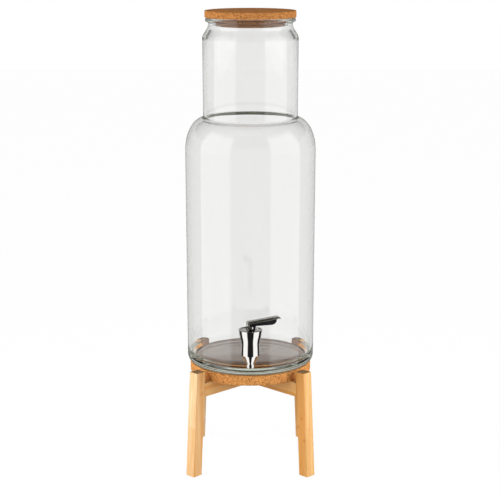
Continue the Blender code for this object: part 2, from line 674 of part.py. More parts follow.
def flat_piece(name, points, width, parent, material=None):
    """An outline in the lever's own (length, height) plane, extruded across its width."""
    curve = bpy.data.curves.new(name, "CURVE")
    curve.dimensions = "2D"
    curve.fill_mode = "BOTH"
    curve.extrude = width / 2
    spline = curve.splines.new("POLY")
    spline.use_cyclic_u = True
    spline.points.add(len(points) - 1)
    for knot, (a, z) in zip(spline.points, points):
        knot.co = (a, z, 0.0, 1.0)
    mesh = welded(baked(name, curve), Matrix.Rotation(math.radians(90), 3, "X"))
    shade_round(mesh)
    return place(name, mesh, parent, material)


def cover_top(a):
    """The height of the cover's upper face above the pin, along the lever."""
    drop = COVER_TIP_DROP * max(0.0, (a - COVER_REACH + COVER_TIP) / COVER_TIP) ** 2
    return COVER_ABOVE_PIN + a * math.tan(COVER_TILT) - drop


def cover_outline():
    """The bent strip from the side: up the rear, round the bend and out to the tip."""
    foot = BONNET_TOP_Z + GAP - PIN_Z
    rear = -LEVER_REAR
    outside = [(rear, foot)]
    middle = (rear + COVER_BEND, cover_top(rear + COVER_BEND) - COVER_BEND)
    outside += ellipse(middle, -COVER_BEND, COVER_BEND, 0, 90, 4)
    reach = [COVER_REACH - COVER_TIP * (1 - i / 3) for i in range(4)]
    outside += [(a, cover_top(a)) for a in reach]
    inner_bend = COVER_BEND - COVER_THICKNESS
    inside = [(a, z - COVER_THICKNESS) for a, z in reversed(outside[-4:])]
    inside += ellipse(middle, -inner_bend, inner_bend, 90, 0, 3)
    inside += [(rear + COVER_THICKNESS, foot)]
    return outside + inside


def core_outline():
    """The plastic core from the side, under the cover."""
    foot = BONNET_TOP_Z + GAP - PIN_Z
    rear = -LEVER_REAR + COVER_THICKNESS + GAP
    under_cover = COVER_THICKNESS + GAP

    def top(a):
        return cover_top(a) - under_cover

    end_centre = (CORE_REACH - CORE_END_RADIUS, UNDERSIDE_ABOVE_PIN + CORE_END_RADIUS)
    end_angle = math.degrees(math.asin((top(CORE_REACH) - end_centre[1]) / CORE_END_RADIUS))
    points = [(rear, foot), (rear, top(rear) - CORE_CHAMFER), (rear + CORE_CHAMFER, top(rear + CORE_CHAMFER))]
    points += ellipse(end_centre, CORE_END_RADIUS, CORE_END_RADIUS, end_angle, -90, 6)
    fillet = (FOOT_FRONT + UNDERSIDE_FILLET, UNDERSIDE_ABOVE_PIN - UNDERSIDE_FILLET)
    points += ellipse(fillet, UNDERSIDE_FILLET, UNDERSIDE_FILLET, 90, 180, 3)
    points += [(FOOT_FRONT, foot + CORE_CHAMFER / 2), (FOOT_FRONT - CORE_CHAMFER / 2, foot)]
    return points


def make_lever(lever):
    flat_piece("lever_cover", cover_outline(), LEVER_WIDTH, lever, steel)
    core = flat_piece("lever_core", core_outline(), CORE_WIDTH, lever, black_plastic)
    foot = BONNET_TOP_Z + GAP - PIN_Z
    roof = EYE_RADIUS + 2 * GAP
    slot_width = EYE_THICKNESS + 2 * GAP
    slot_size = (4 * FOOT_FRONT, slot_width, roof - foot + WALL)
    slot_z = roof - slot_size[2] / 2
    boolean(core, box("fork_slot", slot_size, lever, location=(0, 0, slot_z)))
    boolean(core, rod("core_pin_hole", PIN_RADIUS + GAP, -CORE_WIDTH, CORE_WIDTH, lever,
                      turn=(math.radians(90), 0, 0)))


# ---------------------------------------------------------------- lid

def make_lid(lid):
    low = LID_BOTTOM_Z
    rod("lid_disc", LID_RADIUS, low, low + LID_THICKNESS, lid, cork, segments=JAR_SEGMENTS)
    plug_top = low - GAP
    plug_low = plug_top - PLUG_DEPTH
    rod("lid_plug", PLUG_RADIUS, plug_low, plug_top, lid, cork, segments=JAR_SEGMENTS)
    middle = (plug_low + plug_top - LIP_HEIGHT / 2) / 2
    high = middle + SEAL_HEIGHT / 2
    inner = PLUG_RADIUS + GAP
    outer = MOUTH_RADIUS - SEAL_CLEARANCE
    web = inner + SEAL_RIB
    points = [(inner, high), (web, high)]
    for rib in range(2):
        top = high - SEAL_RIB / 2 - rib * (SEAL_HEIGHT - 2 * SEAL_RIB)
        points += [(web, top), (outer, top - SEAL_RIB / 4), (outer, top - 3 * SEAL_RIB / 4),
                   (web, top - SEAL_RIB)]
    points += [(web, high - SEAL_HEIGHT), (inner, high - SEAL_HEIGHT)]
    turned("lid_seal", points, lid, silicone, closed=True, segments=JAR_SEGMENTS)


clear_scene()
parts = new_collection("water_dispenser")
cutters = new_collection("cutters")

bamboo = principled("bamboo", (0.86, 0.56, 0.27), 0.5)
dowel_wood = principled("dowel_wood", (0.78, 0.62, 0.42), 0.6)
cork = principled("cork", (0.56, 0.30, 0.13), 0.85)
glass = principled("glass", (0.93, 0.97, 0.95), 0.02, transmission=1.0)
steel = principled("steel", (0.72, 0.71, 0.69), 0.15, metallic=1.0)
silicone = principled("silicone", (0.82, 0.83, 0.83), 0.45)
black_plastic = principled("black_plastic", (0.012, 0.012, 0.013), 0.3)

jar_frame = frame("jar_frame", (0, JAR_Y, 0))
lid_frame = frame("lid_frame", (0, 0, 0), jar_frame)
tap_frame = frame("tap_frame", (0, -TAP_OFFSET, 0), jar_frame)
plunger_frame = frame("plunger_frame", (0, 0, 0), tap_frame)
stem_frame = frame("stem_frame", (0, 0, 0), plunger_frame, LEVER_YAW)
lever_frame = frame("lever_frame", (0, 0, PIN_Z), stem_frame)

make_stand()
make_jar(jar_frame, tap_frame)
make_clamp(jar_frame, tap_frame)
make_tap_body(tap_frame)
make_bonnet(tap_frame)
make_spring(tap_frame)
make_stem(stem_frame, make_plunger(plunger_frame))
make_lever(lever_frame)
make_lid(lid_frame)
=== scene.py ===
"""Looks for the countertop water dispenser: a glass jar with a cork lid and a sprung tap, on a bamboo stand.

Everything is in metres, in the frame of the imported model. Each piece is made in place, so its object stays at
the origin. An outline is a list of (radius, height) points, or of (length, height) points on the lever.
"""

import math

import bmesh
import bpy
from mathutils import Matrix, Vector


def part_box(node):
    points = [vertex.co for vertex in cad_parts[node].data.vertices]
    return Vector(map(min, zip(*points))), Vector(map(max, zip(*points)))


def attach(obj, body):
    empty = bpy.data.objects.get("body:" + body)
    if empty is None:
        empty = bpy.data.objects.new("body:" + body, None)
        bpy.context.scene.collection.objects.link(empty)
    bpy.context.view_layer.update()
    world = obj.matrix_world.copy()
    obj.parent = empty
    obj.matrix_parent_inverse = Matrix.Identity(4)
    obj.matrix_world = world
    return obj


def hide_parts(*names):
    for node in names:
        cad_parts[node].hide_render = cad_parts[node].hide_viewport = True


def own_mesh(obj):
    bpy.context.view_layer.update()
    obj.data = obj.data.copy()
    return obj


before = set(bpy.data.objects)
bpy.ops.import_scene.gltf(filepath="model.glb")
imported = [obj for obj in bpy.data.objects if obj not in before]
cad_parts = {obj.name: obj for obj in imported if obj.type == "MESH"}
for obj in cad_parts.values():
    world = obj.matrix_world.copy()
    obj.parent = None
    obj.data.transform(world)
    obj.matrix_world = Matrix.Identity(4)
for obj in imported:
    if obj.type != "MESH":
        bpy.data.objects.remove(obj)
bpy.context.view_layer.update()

MM = 0.001
GAP = 0.3 * MM  # between faces that touch
CORNERS = {"front_left": 225, "front_right": 315, "back_right": 45, "back_left": 135}

# Stand
LEG_WIDTH = 15.5 * MM
LEG_LEAN = math.radians(3.2)
LEG_EDGE = 0.4 * MM
NODE_SPACING = 0.42  # along a strip of bamboo
BAR_WIDTH = 15.0 * MM
BAR_EDGE = 0.6 * MM
DOWEL_IN_LEG = 10.0 * MM
DOWEL_LENGTH = 21.4 * MM
DOWEL_CHAMFER = 0.5 * MM

# Jar
JAR_SEGMENTS = 144
WALL = 3.9 * MM
FLOOR_THICKNESS = 8.9 * MM
PUNT_DEPTH = 1.6 * MM
HEEL_WIDTH = 8.0 * MM
HEEL_HEIGHT = 10.5 * MM
FLOOR_FILLET = 12.0 * MM
BODY_TAPER = 1.2 * MM
BODY_HEIGHT = 307.9 * MM
SHOULDER_HEIGHT = 44.9 * MM
SHOULDER_INSET = 2.2 * MM
JUNCTION_RADIUS = 3.0 * MM  # outside, where the neck meets the shoulder
NECK_RADIUS = 67.0 * MM
NECK_TAPER = 0.6 * MM
NECK_HEIGHT = 107.9 * MM
GROOVE_RADIUS = 58.7 * MM
GROOVE_RISE = 23.1 * MM
LIP_RADIUS = 63.0 * MM
LIP_HEIGHT = 6.1 * MM
MOUTH_RADIUS = 53.8 * MM
TAP_HOLE_RADIUS = 9.0 * MM
LID_SEAL_WEB = 1.2 * MM
LID_SEAL_RIB = 0.6 * MM  # half the height of a rib

# Tap, from the top down
TAP_SEGMENTS = 96
TAP_TOP_ABOVE_INLET = 22.4 * MM
FLARE = (15.3 * MM, 14.8 * MM)
WAIST_RADIUS = 12.6 * MM
BELLY = (12.95 * MM, -13.4 * MM)
NOZZLE_RADIUS = 5.95 * MM
NOZZLE_BORE = 4.4 * MM
NOZZLE_LENGTH = 5.4 * MM
CHAMBER_RADIUS = 10.2 * MM
SEAT_BELOW_INLET = 12.5 * MM
SEAT_HEIGHT = 8.0 * MM
BOSS_RADIUS = 10.4 * MM
SHANK_RADIUS = 8.0 * MM
SHANK_BORE = 5.0 * MM
SHANK_PITCH = 1.5 * MM
SHANK_CHAMFER = 1.0 * MM
SHANK_THREAD_DEPTH = 0.8 * MM
SHANK_PLAIN = 4.0 * MM  # between the collar and the thread
COLLAR_THICKNESS = 2.5 * MM
BONNET_PITCH = 1.0 * MM
BONNET_THREAD_RADIUS = 12.3 * MM
BONNET_THREAD_DEPTH = 0.5 * MM
BONNET_FLANGE = 1.9 * MM
BONNET_RECESS_RADIUS = 14.4 * MM
BONNET_SEAL_ROOM = 1.3 * MM
STEM_RADIUS = 2.5 * MM
STEM_CLEARANCE = 0.4 * MM
STEM_FOOT_RADIUS = 4.2 * MM
STEM_FOOT = 1.4 * MM
STEM_SEAL_WIRE = 0.9 * MM  # its radius
STEM_SEAL_GROOVE = 2.4 * MM
EYE_RADIUS = 2.85 * MM
EYE_THICKNESS = 5.0 * MM
PIN_RADIUS = 1.5 * MM
PLUG_FLOOR = 1.2 * MM
PLUG_RIM = 1.2 * MM
SPRING_RADIUS = 6.0 * MM
SPRING_WIRE = 1.0 * MM
SPRING_TURNS = 6
NUT_CHAMFER = 0.5 * MM

# Lever
LEVER_YAW = 16.0  # degrees
LEVER_REAR = 4.2 * MM
FOOT_FRONT = 5.0 * MM
COVER_THICKNESS = 1.0 * MM
COVER_REACH = 42.0 * MM
COVER_ABOVE_PIN = 7.6 * MM
COVER_TILT = math.radians(6.3)
COVER_TIP = 3.5 * MM
COVER_TIP_DROP = 0.9 * MM
COVER_BEND = 2.0 * MM
COVER_CORNER = 2.5 * MM
COVER_EDGE = 0.22 * MM
CORE_REACH = 36.6 * MM
CORE_END_RADIUS = 8.4 * MM
CORE_CORNER = 3.5 * MM
CORE_EDGE = 0.45 * MM
UNDERSIDE_ABOVE_PIN = 2.9 * MM
UNDERSIDE_FILLET = 2.0 * MM

# How far each piece's edges are rounded off
SOFT = {name: size * MM for name, size in {
    "cork_mat": 0.8, "lid_disc": 0.9, "lid_plug": 0.8, "tap_body": 0.4, "bonnet": 0.25, "bonnet_seal": 0.15,
    "inlet_shank": 0.3, "shank_seal": 0.3, "outer_gasket": 0.5, "inner_gasket": 0.5, "clamp_washer": 0.25,
    "lock_nut": 0.2, "spring_seat": 0.3, "seat_plug": 0.3, "stem": 0.2, "stem_eye": 0.3}.items()}


def centre_of(name):
    low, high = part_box(name)
    return (low + high) / 2


def heights(name):
    """Where a CAD node's underside and top are."""
    low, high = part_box(name)
    return low.z, high.z


def half_width_of(name):
    low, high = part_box(name)
    return (high.x - low.x) / 2


def spun(degrees, axis="Z"):
    return Matrix.Rotation(math.radians(degrees), 4, axis)


# Places that the frame gives
JAR_Y = centre_of("glass_jar").y
JAR_BASE_Z, JAR_TOP_Z = heights("glass_jar")
JAR_HEIGHT = JAR_TOP_Z - JAR_BASE_Z
BODY_RADIUS = half_width_of("glass_jar")
NECK_TOP = BODY_HEIGHT + SHOULDER_HEIGHT + NECK_HEIGHT
GROOVE_LEVEL = NECK_TOP + GROOVE_RISE
TAP_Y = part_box("tap_body")[0].y + half_width_of("tap_body")
NOZZLE_END_Z, TAP_TOP_Z = heights("tap_body")
INLET_Z = TAP_TOP_Z - TAP_TOP_ABOVE_INLET
BOSS_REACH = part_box("tap_body")[1].y - TAP_Y
BONNET_BOTTOM_Z, BONNET_TOP_Z = heights("bonnet")
FLANGE_Z = BONNET_TOP_Z - BONNET_FLANGE
PIN_Z = centre_of("pivot_pin").z
LEVER_FOOT = BONNET_TOP_Z + GAP - PIN_Z  # its height from the pin
LEG_FOOT_RADIUS = math.sqrt(2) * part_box("leg_front_right")[1].x - LEG_WIDTH / 2 * (1 + 1 / math.cos(LEG_LEAN))

JAR_AXIS = Matrix.Translation((0, JAR_Y, 0))
TAP_AXIS = Matrix.Translation((0, TAP_Y, 0))
# An outline turned about the shank's line has its heights measured from the tap's axis towards the jar.
SHANK_LINE = Matrix.Translation((0, TAP_Y, INLET_Z)) @ spun(-90, "X")
LEVER_PLACE = Matrix.Translation((0, TAP_Y, PIN_Z)) @ spun(LEVER_YAW)
PIN_LINE = LEVER_PLACE @ spun(90, "X")


# ---- Node trees

def node(tree, kind, inputs=None, **settings):
    """Adds a node, sets its options, and gives its inputs a plain value or a link."""
    made = tree.nodes.new(kind)
    for name, value in settings.items():
        setattr(made, name, value)
    for key, value in (inputs or {}).items():
        if isinstance(value, bpy.types.NodeSocket):
            tree.links.new(value, made.inputs[key])
        else:
            made.inputs[key].default_value = value
    return made


def output(tree, kind, inputs=None, **settings):
    """The first output of a new node."""
    return node(tree, kind, inputs, **settings).outputs[0]


def calc(operation, *values):
    """A sum on plain or linked numbers, in the tree of the linked ones."""
    tree = next(value.id_data for value in values if isinstance(value, bpy.types.NodeSocket))
    return output(tree, "ShaderNodeMath", dict(enumerate(values)), operation=operation)


def parts(vector):
    """A vector's X, Y and Z."""
    return node(vector.id_data, "ShaderNodeSeparateXYZ", {0: vector}).outputs


def turned_by(vector, angle):
    """A vector turned about Z."""
    return output(vector.id_data, "ShaderNodeVectorRotate", {"Vector": vector, "Angle": angle},
                  rotation_type="Z_AXIS")


def new_tree(name, **inputs):
    """An empty geometry tree and the node that gives its named inputs."""
    tree = bpy.data.node_groups.new(name, "GeometryNodeTree")
    tree.interface.new_socket("Geometry", in_out="INPUT", socket_type="NodeSocketGeometry")
    for words, kind in inputs.items():
        title = words.replace("_", " ").title()
        tree.interface.new_socket(title, in_out="INPUT", socket_type=f"NodeSocket{kind}")
    tree.interface.new_socket("Geometry", in_out="OUTPUT", socket_type="NodeSocketGeometry")
    return tree, tree.nodes.new("NodeGroupInput").outputs


def end_tree(tree, geometry, given):
    """Closes a tree: real geometry, a material, and the output."""
    real = output(tree, "GeometryNodeRealizeInstances", {0: geometry})
    painted = node(tree, "GeometryNodeSetMaterial", {"Geometry": real, "Material": given["Material"]})
    node(tree, "NodeGroupOutput", {0: painted.outputs[0]})
    return tree


def turning_tree():
    """Turns an outline of (radius, 0, height) points round Z, and cuts a thread where one is asked for."""
    tree, given = new_tree("turned_outline", segments="Int", edge_angle="Float", thread_radius="Float",
                           thread_low="Float", thread_high="Float", thread_depth="Float", pitch="Float",
                           material="Material")
    count = node(tree, "GeometryNodeAttributeDomainSize", {0: given["Geometry"]}).outputs["Point Count"]
    across = calc("ADD", given["Segments"], 1.0)
    grid = node(tree, "GeometryNodeMeshGrid", {"Vertices X": across, "Vertices Y": count}).outputs["Mesh"]
    index = output(tree, "GeometryNodeInputIndex")
    along = calc("MODULO", index, count)
    slice_number = calc("FLOOR", calc("DIVIDE", calc("ADD", index, 0.5), count))
    share = calc("DIVIDE", slice_number, given["Segments"])
    sample = node(tree, "GeometryNodeSampleIndex", {"Geometry": given["Geometry"], "Index": along},
                  data_type="FLOAT_VECTOR", domain="POINT")
    value = [s for s in sample.inputs if s.name == "Value" and s.enabled][0]
    tree.links.new(output(tree, "GeometryNodeInputPosition"), value)
    point = parts(sample.outputs[0])
    radius, height = point["X"], point["Z"]

    # The thread follows a cosine of the height less the share of a turn, and only on its own radius.
    turns_off = calc("SUBTRACT", calc("DIVIDE", height, given["Pitch"]), share)
    wave = calc("COSINE", calc("MULTIPLY", math.tau, turns_off))
    cut = calc("MULTIPLY", given["Thread Depth"], calc("MULTIPLY_ADD", wave, -0.5, 0.5))
    off_radius = calc("ABSOLUTE", calc("SUBTRACT", radius, given["Thread Radius"]))
    on_radius = calc("LESS_THAN", off_radius, 0.01 * MM)
    above_low = calc("GREATER_THAN", height, given["Thread Low"])
    in_reach = calc("MULTIPLY", above_low, calc("LESS_THAN", height, given["Thread High"]))
    threaded = calc("MULTIPLY", cut, calc("MULTIPLY", on_radius, in_reach))
    cut_radius = calc("SUBTRACT", radius, threaded)

    flat = output(tree, "ShaderNodeCombineXYZ", {"X": cut_radius, "Z": height})
    place = turned_by(flat, calc("MULTIPLY", share, math.tau))
    shape = output(tree, "GeometryNodeSetPosition", {"Geometry": grid, "Position": place})
    closed = output(tree, "GeometryNodeMergeByDistance", {"Geometry": shape, "Distance": 0.002 * MM})
    smooth = output(tree, "GeometryNodeSetShadeSmooth", {"Geometry": closed, "Shade Smooth": True})
    bend = node(tree, "GeometryNodeInputMeshEdgeAngle").outputs["Unsigned Angle"]
    sharp = calc("GREATER_THAN", bend, given["Edge Angle"])
    edged = output(tree, "GeometryNodeSetShadeSmooth", {
        "Geometry": smooth, "Selection": sharp, "Shade Smooth": False}, domain="EDGE")
    return end_tree(tree, edged, given)


def coil_tree():
    """A wire wound round Z, with a closed turn at each end."""
    tree, given = new_tree("wound_wire", coil_radius="Float", wire_radius="Float", turns="Float", low="Float",
                           high="Float", closed_rise="Float", steps="Int", material="Material")
    line = output(tree, "GeometryNodeCurvePrimitiveLine", {"End": (0, 0, 1)})
    wire = output(tree, "GeometryNodeResampleCurve", {"Curve": line, "Count": given["Steps"]})
    share = node(tree, "GeometryNodeSplineParameter").outputs["Factor"]
    turn = calc("MULTIPLY", share, given["Turns"])
    open_turns = calc("SUBTRACT", given["Turns"], 2.0)
    reach = calc("SUBTRACT", given["High"], given["Low"])
    room = calc("SUBTRACT", reach, calc("MULTIPLY", given["Closed Rise"], 2.0))
    rise = calc("DIVIDE", room, open_turns)
    first = calc("MINIMUM", turn, 1.0)
    last = calc("MAXIMUM", calc("SUBTRACT", turn, calc("ADD", open_turns, 1.0)), 0.0)
    between = calc("SUBTRACT", calc("SUBTRACT", turn, first), last)
    closed = calc("MULTIPLY", calc("ADD", first, last), given["Closed Rise"])
    climbed = calc("ADD", closed, calc("MULTIPLY", between, rise))
    height = calc("ADD", given["Low"], climbed)
    flat = output(tree, "ShaderNodeCombineXYZ", {"X": given["Coil Radius"], "Z": height})
    place = turned_by(flat, calc("MULTIPLY", turn, math.tau))
    wound = output(tree, "GeometryNodeSetPosition", {"Geometry": wire, "Position": place})
    section = output(tree, "GeometryNodeCurvePrimitiveCircle", {
        "Resolution": 12, "Radius": given["Wire Radius"]})
    solid = output(tree, "GeometryNodeCurveToMesh", {
        "Curve": wound, "Profile Curve": section, "Fill Caps": True})
    smooth = output(tree, "GeometryNodeSetShadeSmooth", {"Geometry": solid, "Shade Smooth": True})
    return end_tree(tree, smooth, given)


def peg_tree():
    """Puts a peg at every point, lying along the line from a centre to the point."""
    tree, given = new_tree("pegs_round_a_centre", peg="Object", centre="Vector", material="Material")
    place = output(tree, "GeometryNodeInputPosition")
    away = output(tree, "ShaderNodeVectorMath", {0: place, 1: given["Centre"]}, operation="SUBTRACT")
    level = output(tree, "ShaderNodeVectorMath", {0: away, 1: (1, 1, 0)}, operation="MULTIPLY")
    facing = output(tree, "FunctionNodeAlignRotationToVector", {"Vector": level}, axis="Z")
    peg = node(tree, "GeometryNodeObjectInfo", {"Object": given["Peg"]}).outputs["Geometry"]
    pegs = output(tree, "GeometryNodeInstanceOnPoints", {
        "Points": given["Geometry"], "Instance": peg, "Rotation": facing})
    return end_tree(tree, pegs, given)


def plain_mesh(source):
    """An object's mesh with its modifiers carried out. The object is removed."""
    bpy.context.view_layer.update()
    depsgraph = bpy.context.evaluated_depsgraph_get()
    mesh = bpy.data.meshes.new_from_object(source.evaluated_get(depsgraph))
    source.modifiers.clear()
    bpy.data.objects.remove(source)
    return mesh


def into_scene(data, name="working_shape"):
    item = bpy.data.objects.new(name, data)
    bpy.context.scene.collection.objects.link(item)
    return item


def grown(source, tree, **values):
    """The plain mesh that a tree makes from a source mesh. Inputs are set by their identifiers."""
    item = into_scene(source)
    step = item.modifiers.new(tree.name, "NODES")
    step.node_group = tree
    for socket in tree.interface.items_tree:
        key = socket.name.replace(" ", "_").lower()
        if socket.in_out == "INPUT" and key in values:
            step[socket.identifier] = values[key]
    return plain_mesh(item)


# ---- Shapes

def ellipse(centre, half_width, half_height, start, end, steps):
    """Points on an ellipse between two angles in degrees, 0 pointing outwards and 90 up."""
    angles = [math.radians(start + (end - start) * i / steps) for i in range(steps + 1)]
    return [(centre[0] + half_width * math.cos(a), centre[1] + half_height * math.sin(a)) for a in angles]


def straight(start, end, steps):
    """Points between two others, without them."""
    ts = [i / steps for i in range(1, steps)]
    return [(start[0] + (end[0] - start[0]) * t, start[1] + (end[1] - start[1]) * t) for t in ts]


def soft_s(high, low, steps):
    """A soft S from one point down to another, without them."""
    made = []
    for i in range(1, steps):
        t = i / steps
        eased = t * t * t * (t * (6 * t - 15) + 10)
        made.append((high[0] + (low[0] - high[0]) * eased, high[1] + (low[1] - high[1]) * t))
    return made


def flowing(stations, steps):
    """A smooth curve down through stations, level only where it turns back."""
    slopes = []
    for i, (r, _) in enumerate(stations):
        before = stations[max(i - 1, 0)]
        after = stations[min(i + 1, len(stations) - 1)]
        turning = 0 < i < len(stations) - 1 and (before[0] - r) * (r - after[0]) <= 0
        slopes.append(0.0 if turning else (after[0] - before[0]) / (after[1] - before[1]))
    points = [stations[0]]
    for (r0, z0), (r1, z1), m0, m1 in zip(stations, stations[1:], slopes, slopes[1:]):
        run = z1 - z0
        for i in range(1, steps + 1):
            t = i / steps
            radius = r0 + (r1 - r0) * t * t * (3 - 2 * t)
            radius += run * t * (1 - t) * (m0 * (1 - t) - m1 * t)
            points.append((radius, z0 + run * t))
    return points


def softened(points, radius, closed=False, steps=4):
    """The same outline with its corners rounded off, by less where the sides are short."""
    made = []
    for i, point in enumerate(points):
        here = Vector(point)
        if not closed and i in (0, len(points) - 1):
            made.append(point)
            continue
        to_last = Vector(points[i - 1]) - here
        to_next = Vector(points[(i + 1) % len(points)]) - here
        corner = to_last.angle(to_next)
        if corner > math.radians(160):
            made.append(point)
            continue
        cut = min(radius / math.tan(corner / 2), 0.45 * to_last.length, 0.45 * to_next.length)
        start = here + to_last.normalized() * cut
        end = here + to_next.normalized() * cut
        for k in range(steps + 1):
            t = k / steps
            made.append(tuple(start * (1 - t) ** 2 + here * (2 * t * (1 - t)) + end * t ** 2))
    return made


def outwards(mesh):
    """Merges doubled points, points every face outwards, and leaves the mesh clean."""
    shape = bmesh.new()
    shape.from_mesh(mesh)
    bmesh.ops.remove_doubles(shape, verts=shape.verts, dist=0.001 * MM)
    bmesh.ops.dissolve_degenerate(shape, edges=shape.edges, dist=0.0005 * MM)
    bmesh.ops.recalc_face_normals(shape, faces=shape.faces)
    shape.to_mesh(mesh)
    shape.free()
    return mesh


def turned(points, at, segments=TAP_SEGMENTS, closed=False, edge_angle=math.radians(35), **thread):
    """A turned shape in its place.

    A closed outline makes a ring, and an open one starts and ends on the axis.
    """
    if closed:
        points = [*points, points[0]]
    outline = bpy.data.meshes.new("outline")
    edges = [(i, i + 1) for i in range(len(points) - 1)]
    outline.from_pydata([(r, 0, z) for r, z in points], edges, [])
    sizes = {"thread_radius": 1.0, "thread_low": 0.0, "thread_high": 0.0, "thread_depth": 0.0, "pitch": 1.0}
    sizes.update(thread)
    mesh = grown(outline, TURNING, segments=segments, edge_angle=edge_angle, **sizes)
    mesh.transform(at)
    return outwards(mesh)


def flat_ring(name, inner, low, high, at):
    """A ring as wide as a CAD node, between two heights."""
    outer = half_width_of(name)
    outline = [(inner, high), (outer, high), (outer, low), (inner, low)]
    return turned(softened(outline, SOFT[name], closed=True), at, closed=True)


def disc_outline(radius, low, high, edge):
    """A solid disc with soft rims."""
    return softened([(0, high), (radius, high), (radius, low), (0, low)], edge)


def box_mesh(low, high, edge=0.0, shear=None):
    """A box between two corners, sheared if asked, with soft edges."""
    mesh = bpy.data.meshes.new("box")
    shape = bmesh.new()
    bmesh.ops.create_cube(shape, size=1.0)
    size = Vector(high) - Vector(low)
    middle = (Vector(high) + Vector(low)) / 2
    bmesh.ops.transform(shape, matrix=Matrix.Translation(middle) @ Matrix.Diagonal((*size, 1.0)),
                        verts=shape.verts)
    if shear:
        bmesh.ops.transform(shape, matrix=shear, verts=shape.verts)
    if edge:
        bmesh.ops.bevel(shape, geom=shape.edges, offset=edge, segments=4, profile=0.5, affect="EDGES")
    shape.to_mesh(mesh)
    shape.free()
    return mesh


def extruded(points, way):
    """A flat outline made solid by moving it along a way."""
    mesh = bpy.data.meshes.new("prism")
    shape = bmesh.new()
    side = shape.faces.new([shape.verts.new(point) for point in points])
    far_side = bmesh.ops.extrude_face_region(shape, geom=[side])["geom"]
    moving = [item for item in far_side if isinstance(item, bmesh.types.BMVert)]
    bmesh.ops.translate(shape, verts=moving, vec=way)
    bmesh.ops.recalc_face_normals(shape, faces=shape.faces)
    shape.to_mesh(mesh)
    shape.free()
    return mesh


def carved(mesh, *steps, edge=0.0, edge_steps=3):
    """A mesh after exact booleans, each an (operation, cutter mesh), and then a bevel if asked."""
    item = into_scene(mesh)
    cutters = []
    for operation, cutter in steps:
        other = into_scene(outwards(cutter))
        cutters.append(other)
        step = item.modifiers.new("carve", "BOOLEAN")
        step.object = other
        step.operation = operation
        step.solver = "EXACT"
    if edge:
        bevel = item.modifiers.new("edges", "BEVEL")
        bevel.width = edge
        bevel.segments = edge_steps
        bevel.limit_method = "ANGLE"
        bevel.angle_limit = math.radians(40)
        bevel.use_clamp_overlap = True
    made = plain_mesh(item)
    for other in cutters:
        bpy.data.objects.remove(other)
    return outwards(made)


def shade(mesh, angle=35):
    mesh.shade_smooth()
    mesh.set_sharp_from_angle(angle=math.radians(angle))
    return mesh


def piece(name, mesh, material, body, slot, *nodes):
    """A finished piece: it rides on its body and stands for its CAD nodes."""
    mesh.name = name
    mesh.materials.clear()
    mesh.materials.append(material)
    item = into_scene(mesh, name)
    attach(item, body)
    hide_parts(*(nodes or (name,)))
    return item


# ---- Finishes

def new_material(name, **plain):
    """A Principled material with plain values on its sockets. Returns it, its tree and its shader."""
    material = bpy.data.materials.new(name)
    material.use_nodes = True
    shader = material.node_tree.nodes["Principled BSDF"]
    for words, value in plain.items():
        shader.inputs[words.replace("_", " ").title().replace("Ior", "IOR")].default_value = value
    return material, material.node_tree, shader


def wired(shader, **inputs):
    """Links values to a shader's inputs."""
    for words, value in inputs.items():
        shader.id_data.links.new(value, shader.inputs[words.replace("_", " ").title()])


def blended(factor, first, second, how="MIX"):
    mix = node(factor.id_data, "ShaderNodeMix", {0: factor, 6: first, 7: second}, data_type="RGBA",
               blend_type=how)
    return mix.outputs[2]


def placed(tree, turn=0.0, stretch=(1, 1, 1), centre=(0, 0, 0)):
    """Object coordinates turned about Z and stretched, to run a pattern along a piece."""
    where = node(tree, "ShaderNodeTexCoord").outputs["Object"]
    moved = output(tree, "ShaderNodeMapping", {"Vector": where, "Location": centre,
                                               "Rotation": (0, 0, turn)})
    return output(tree, "ShaderNodeMapping", {"Vector": moved, "Scale": stretch})


def noise(vector, scale, detail=3.0, roughness=0.5):
    return output(vector.id_data, "ShaderNodeTexNoise", {
        "Vector": vector, "Scale": scale, "Detail": detail, "Roughness": roughness})


def ranged(value, low, high, to_low=0.0, to_high=1.0):
    """A value brought from one range to another, held at its ends."""
    return output(value.id_data, "ShaderNodeMapRange", {0: value, 1: low, 2: high, 3: to_low, 4: to_high})


def bumped(shader, height, strength, distance):
    wired(shader, normal=output(height.id_data, "ShaderNodeBump", {
        "Height": height, "Strength": strength, "Distance": distance}))


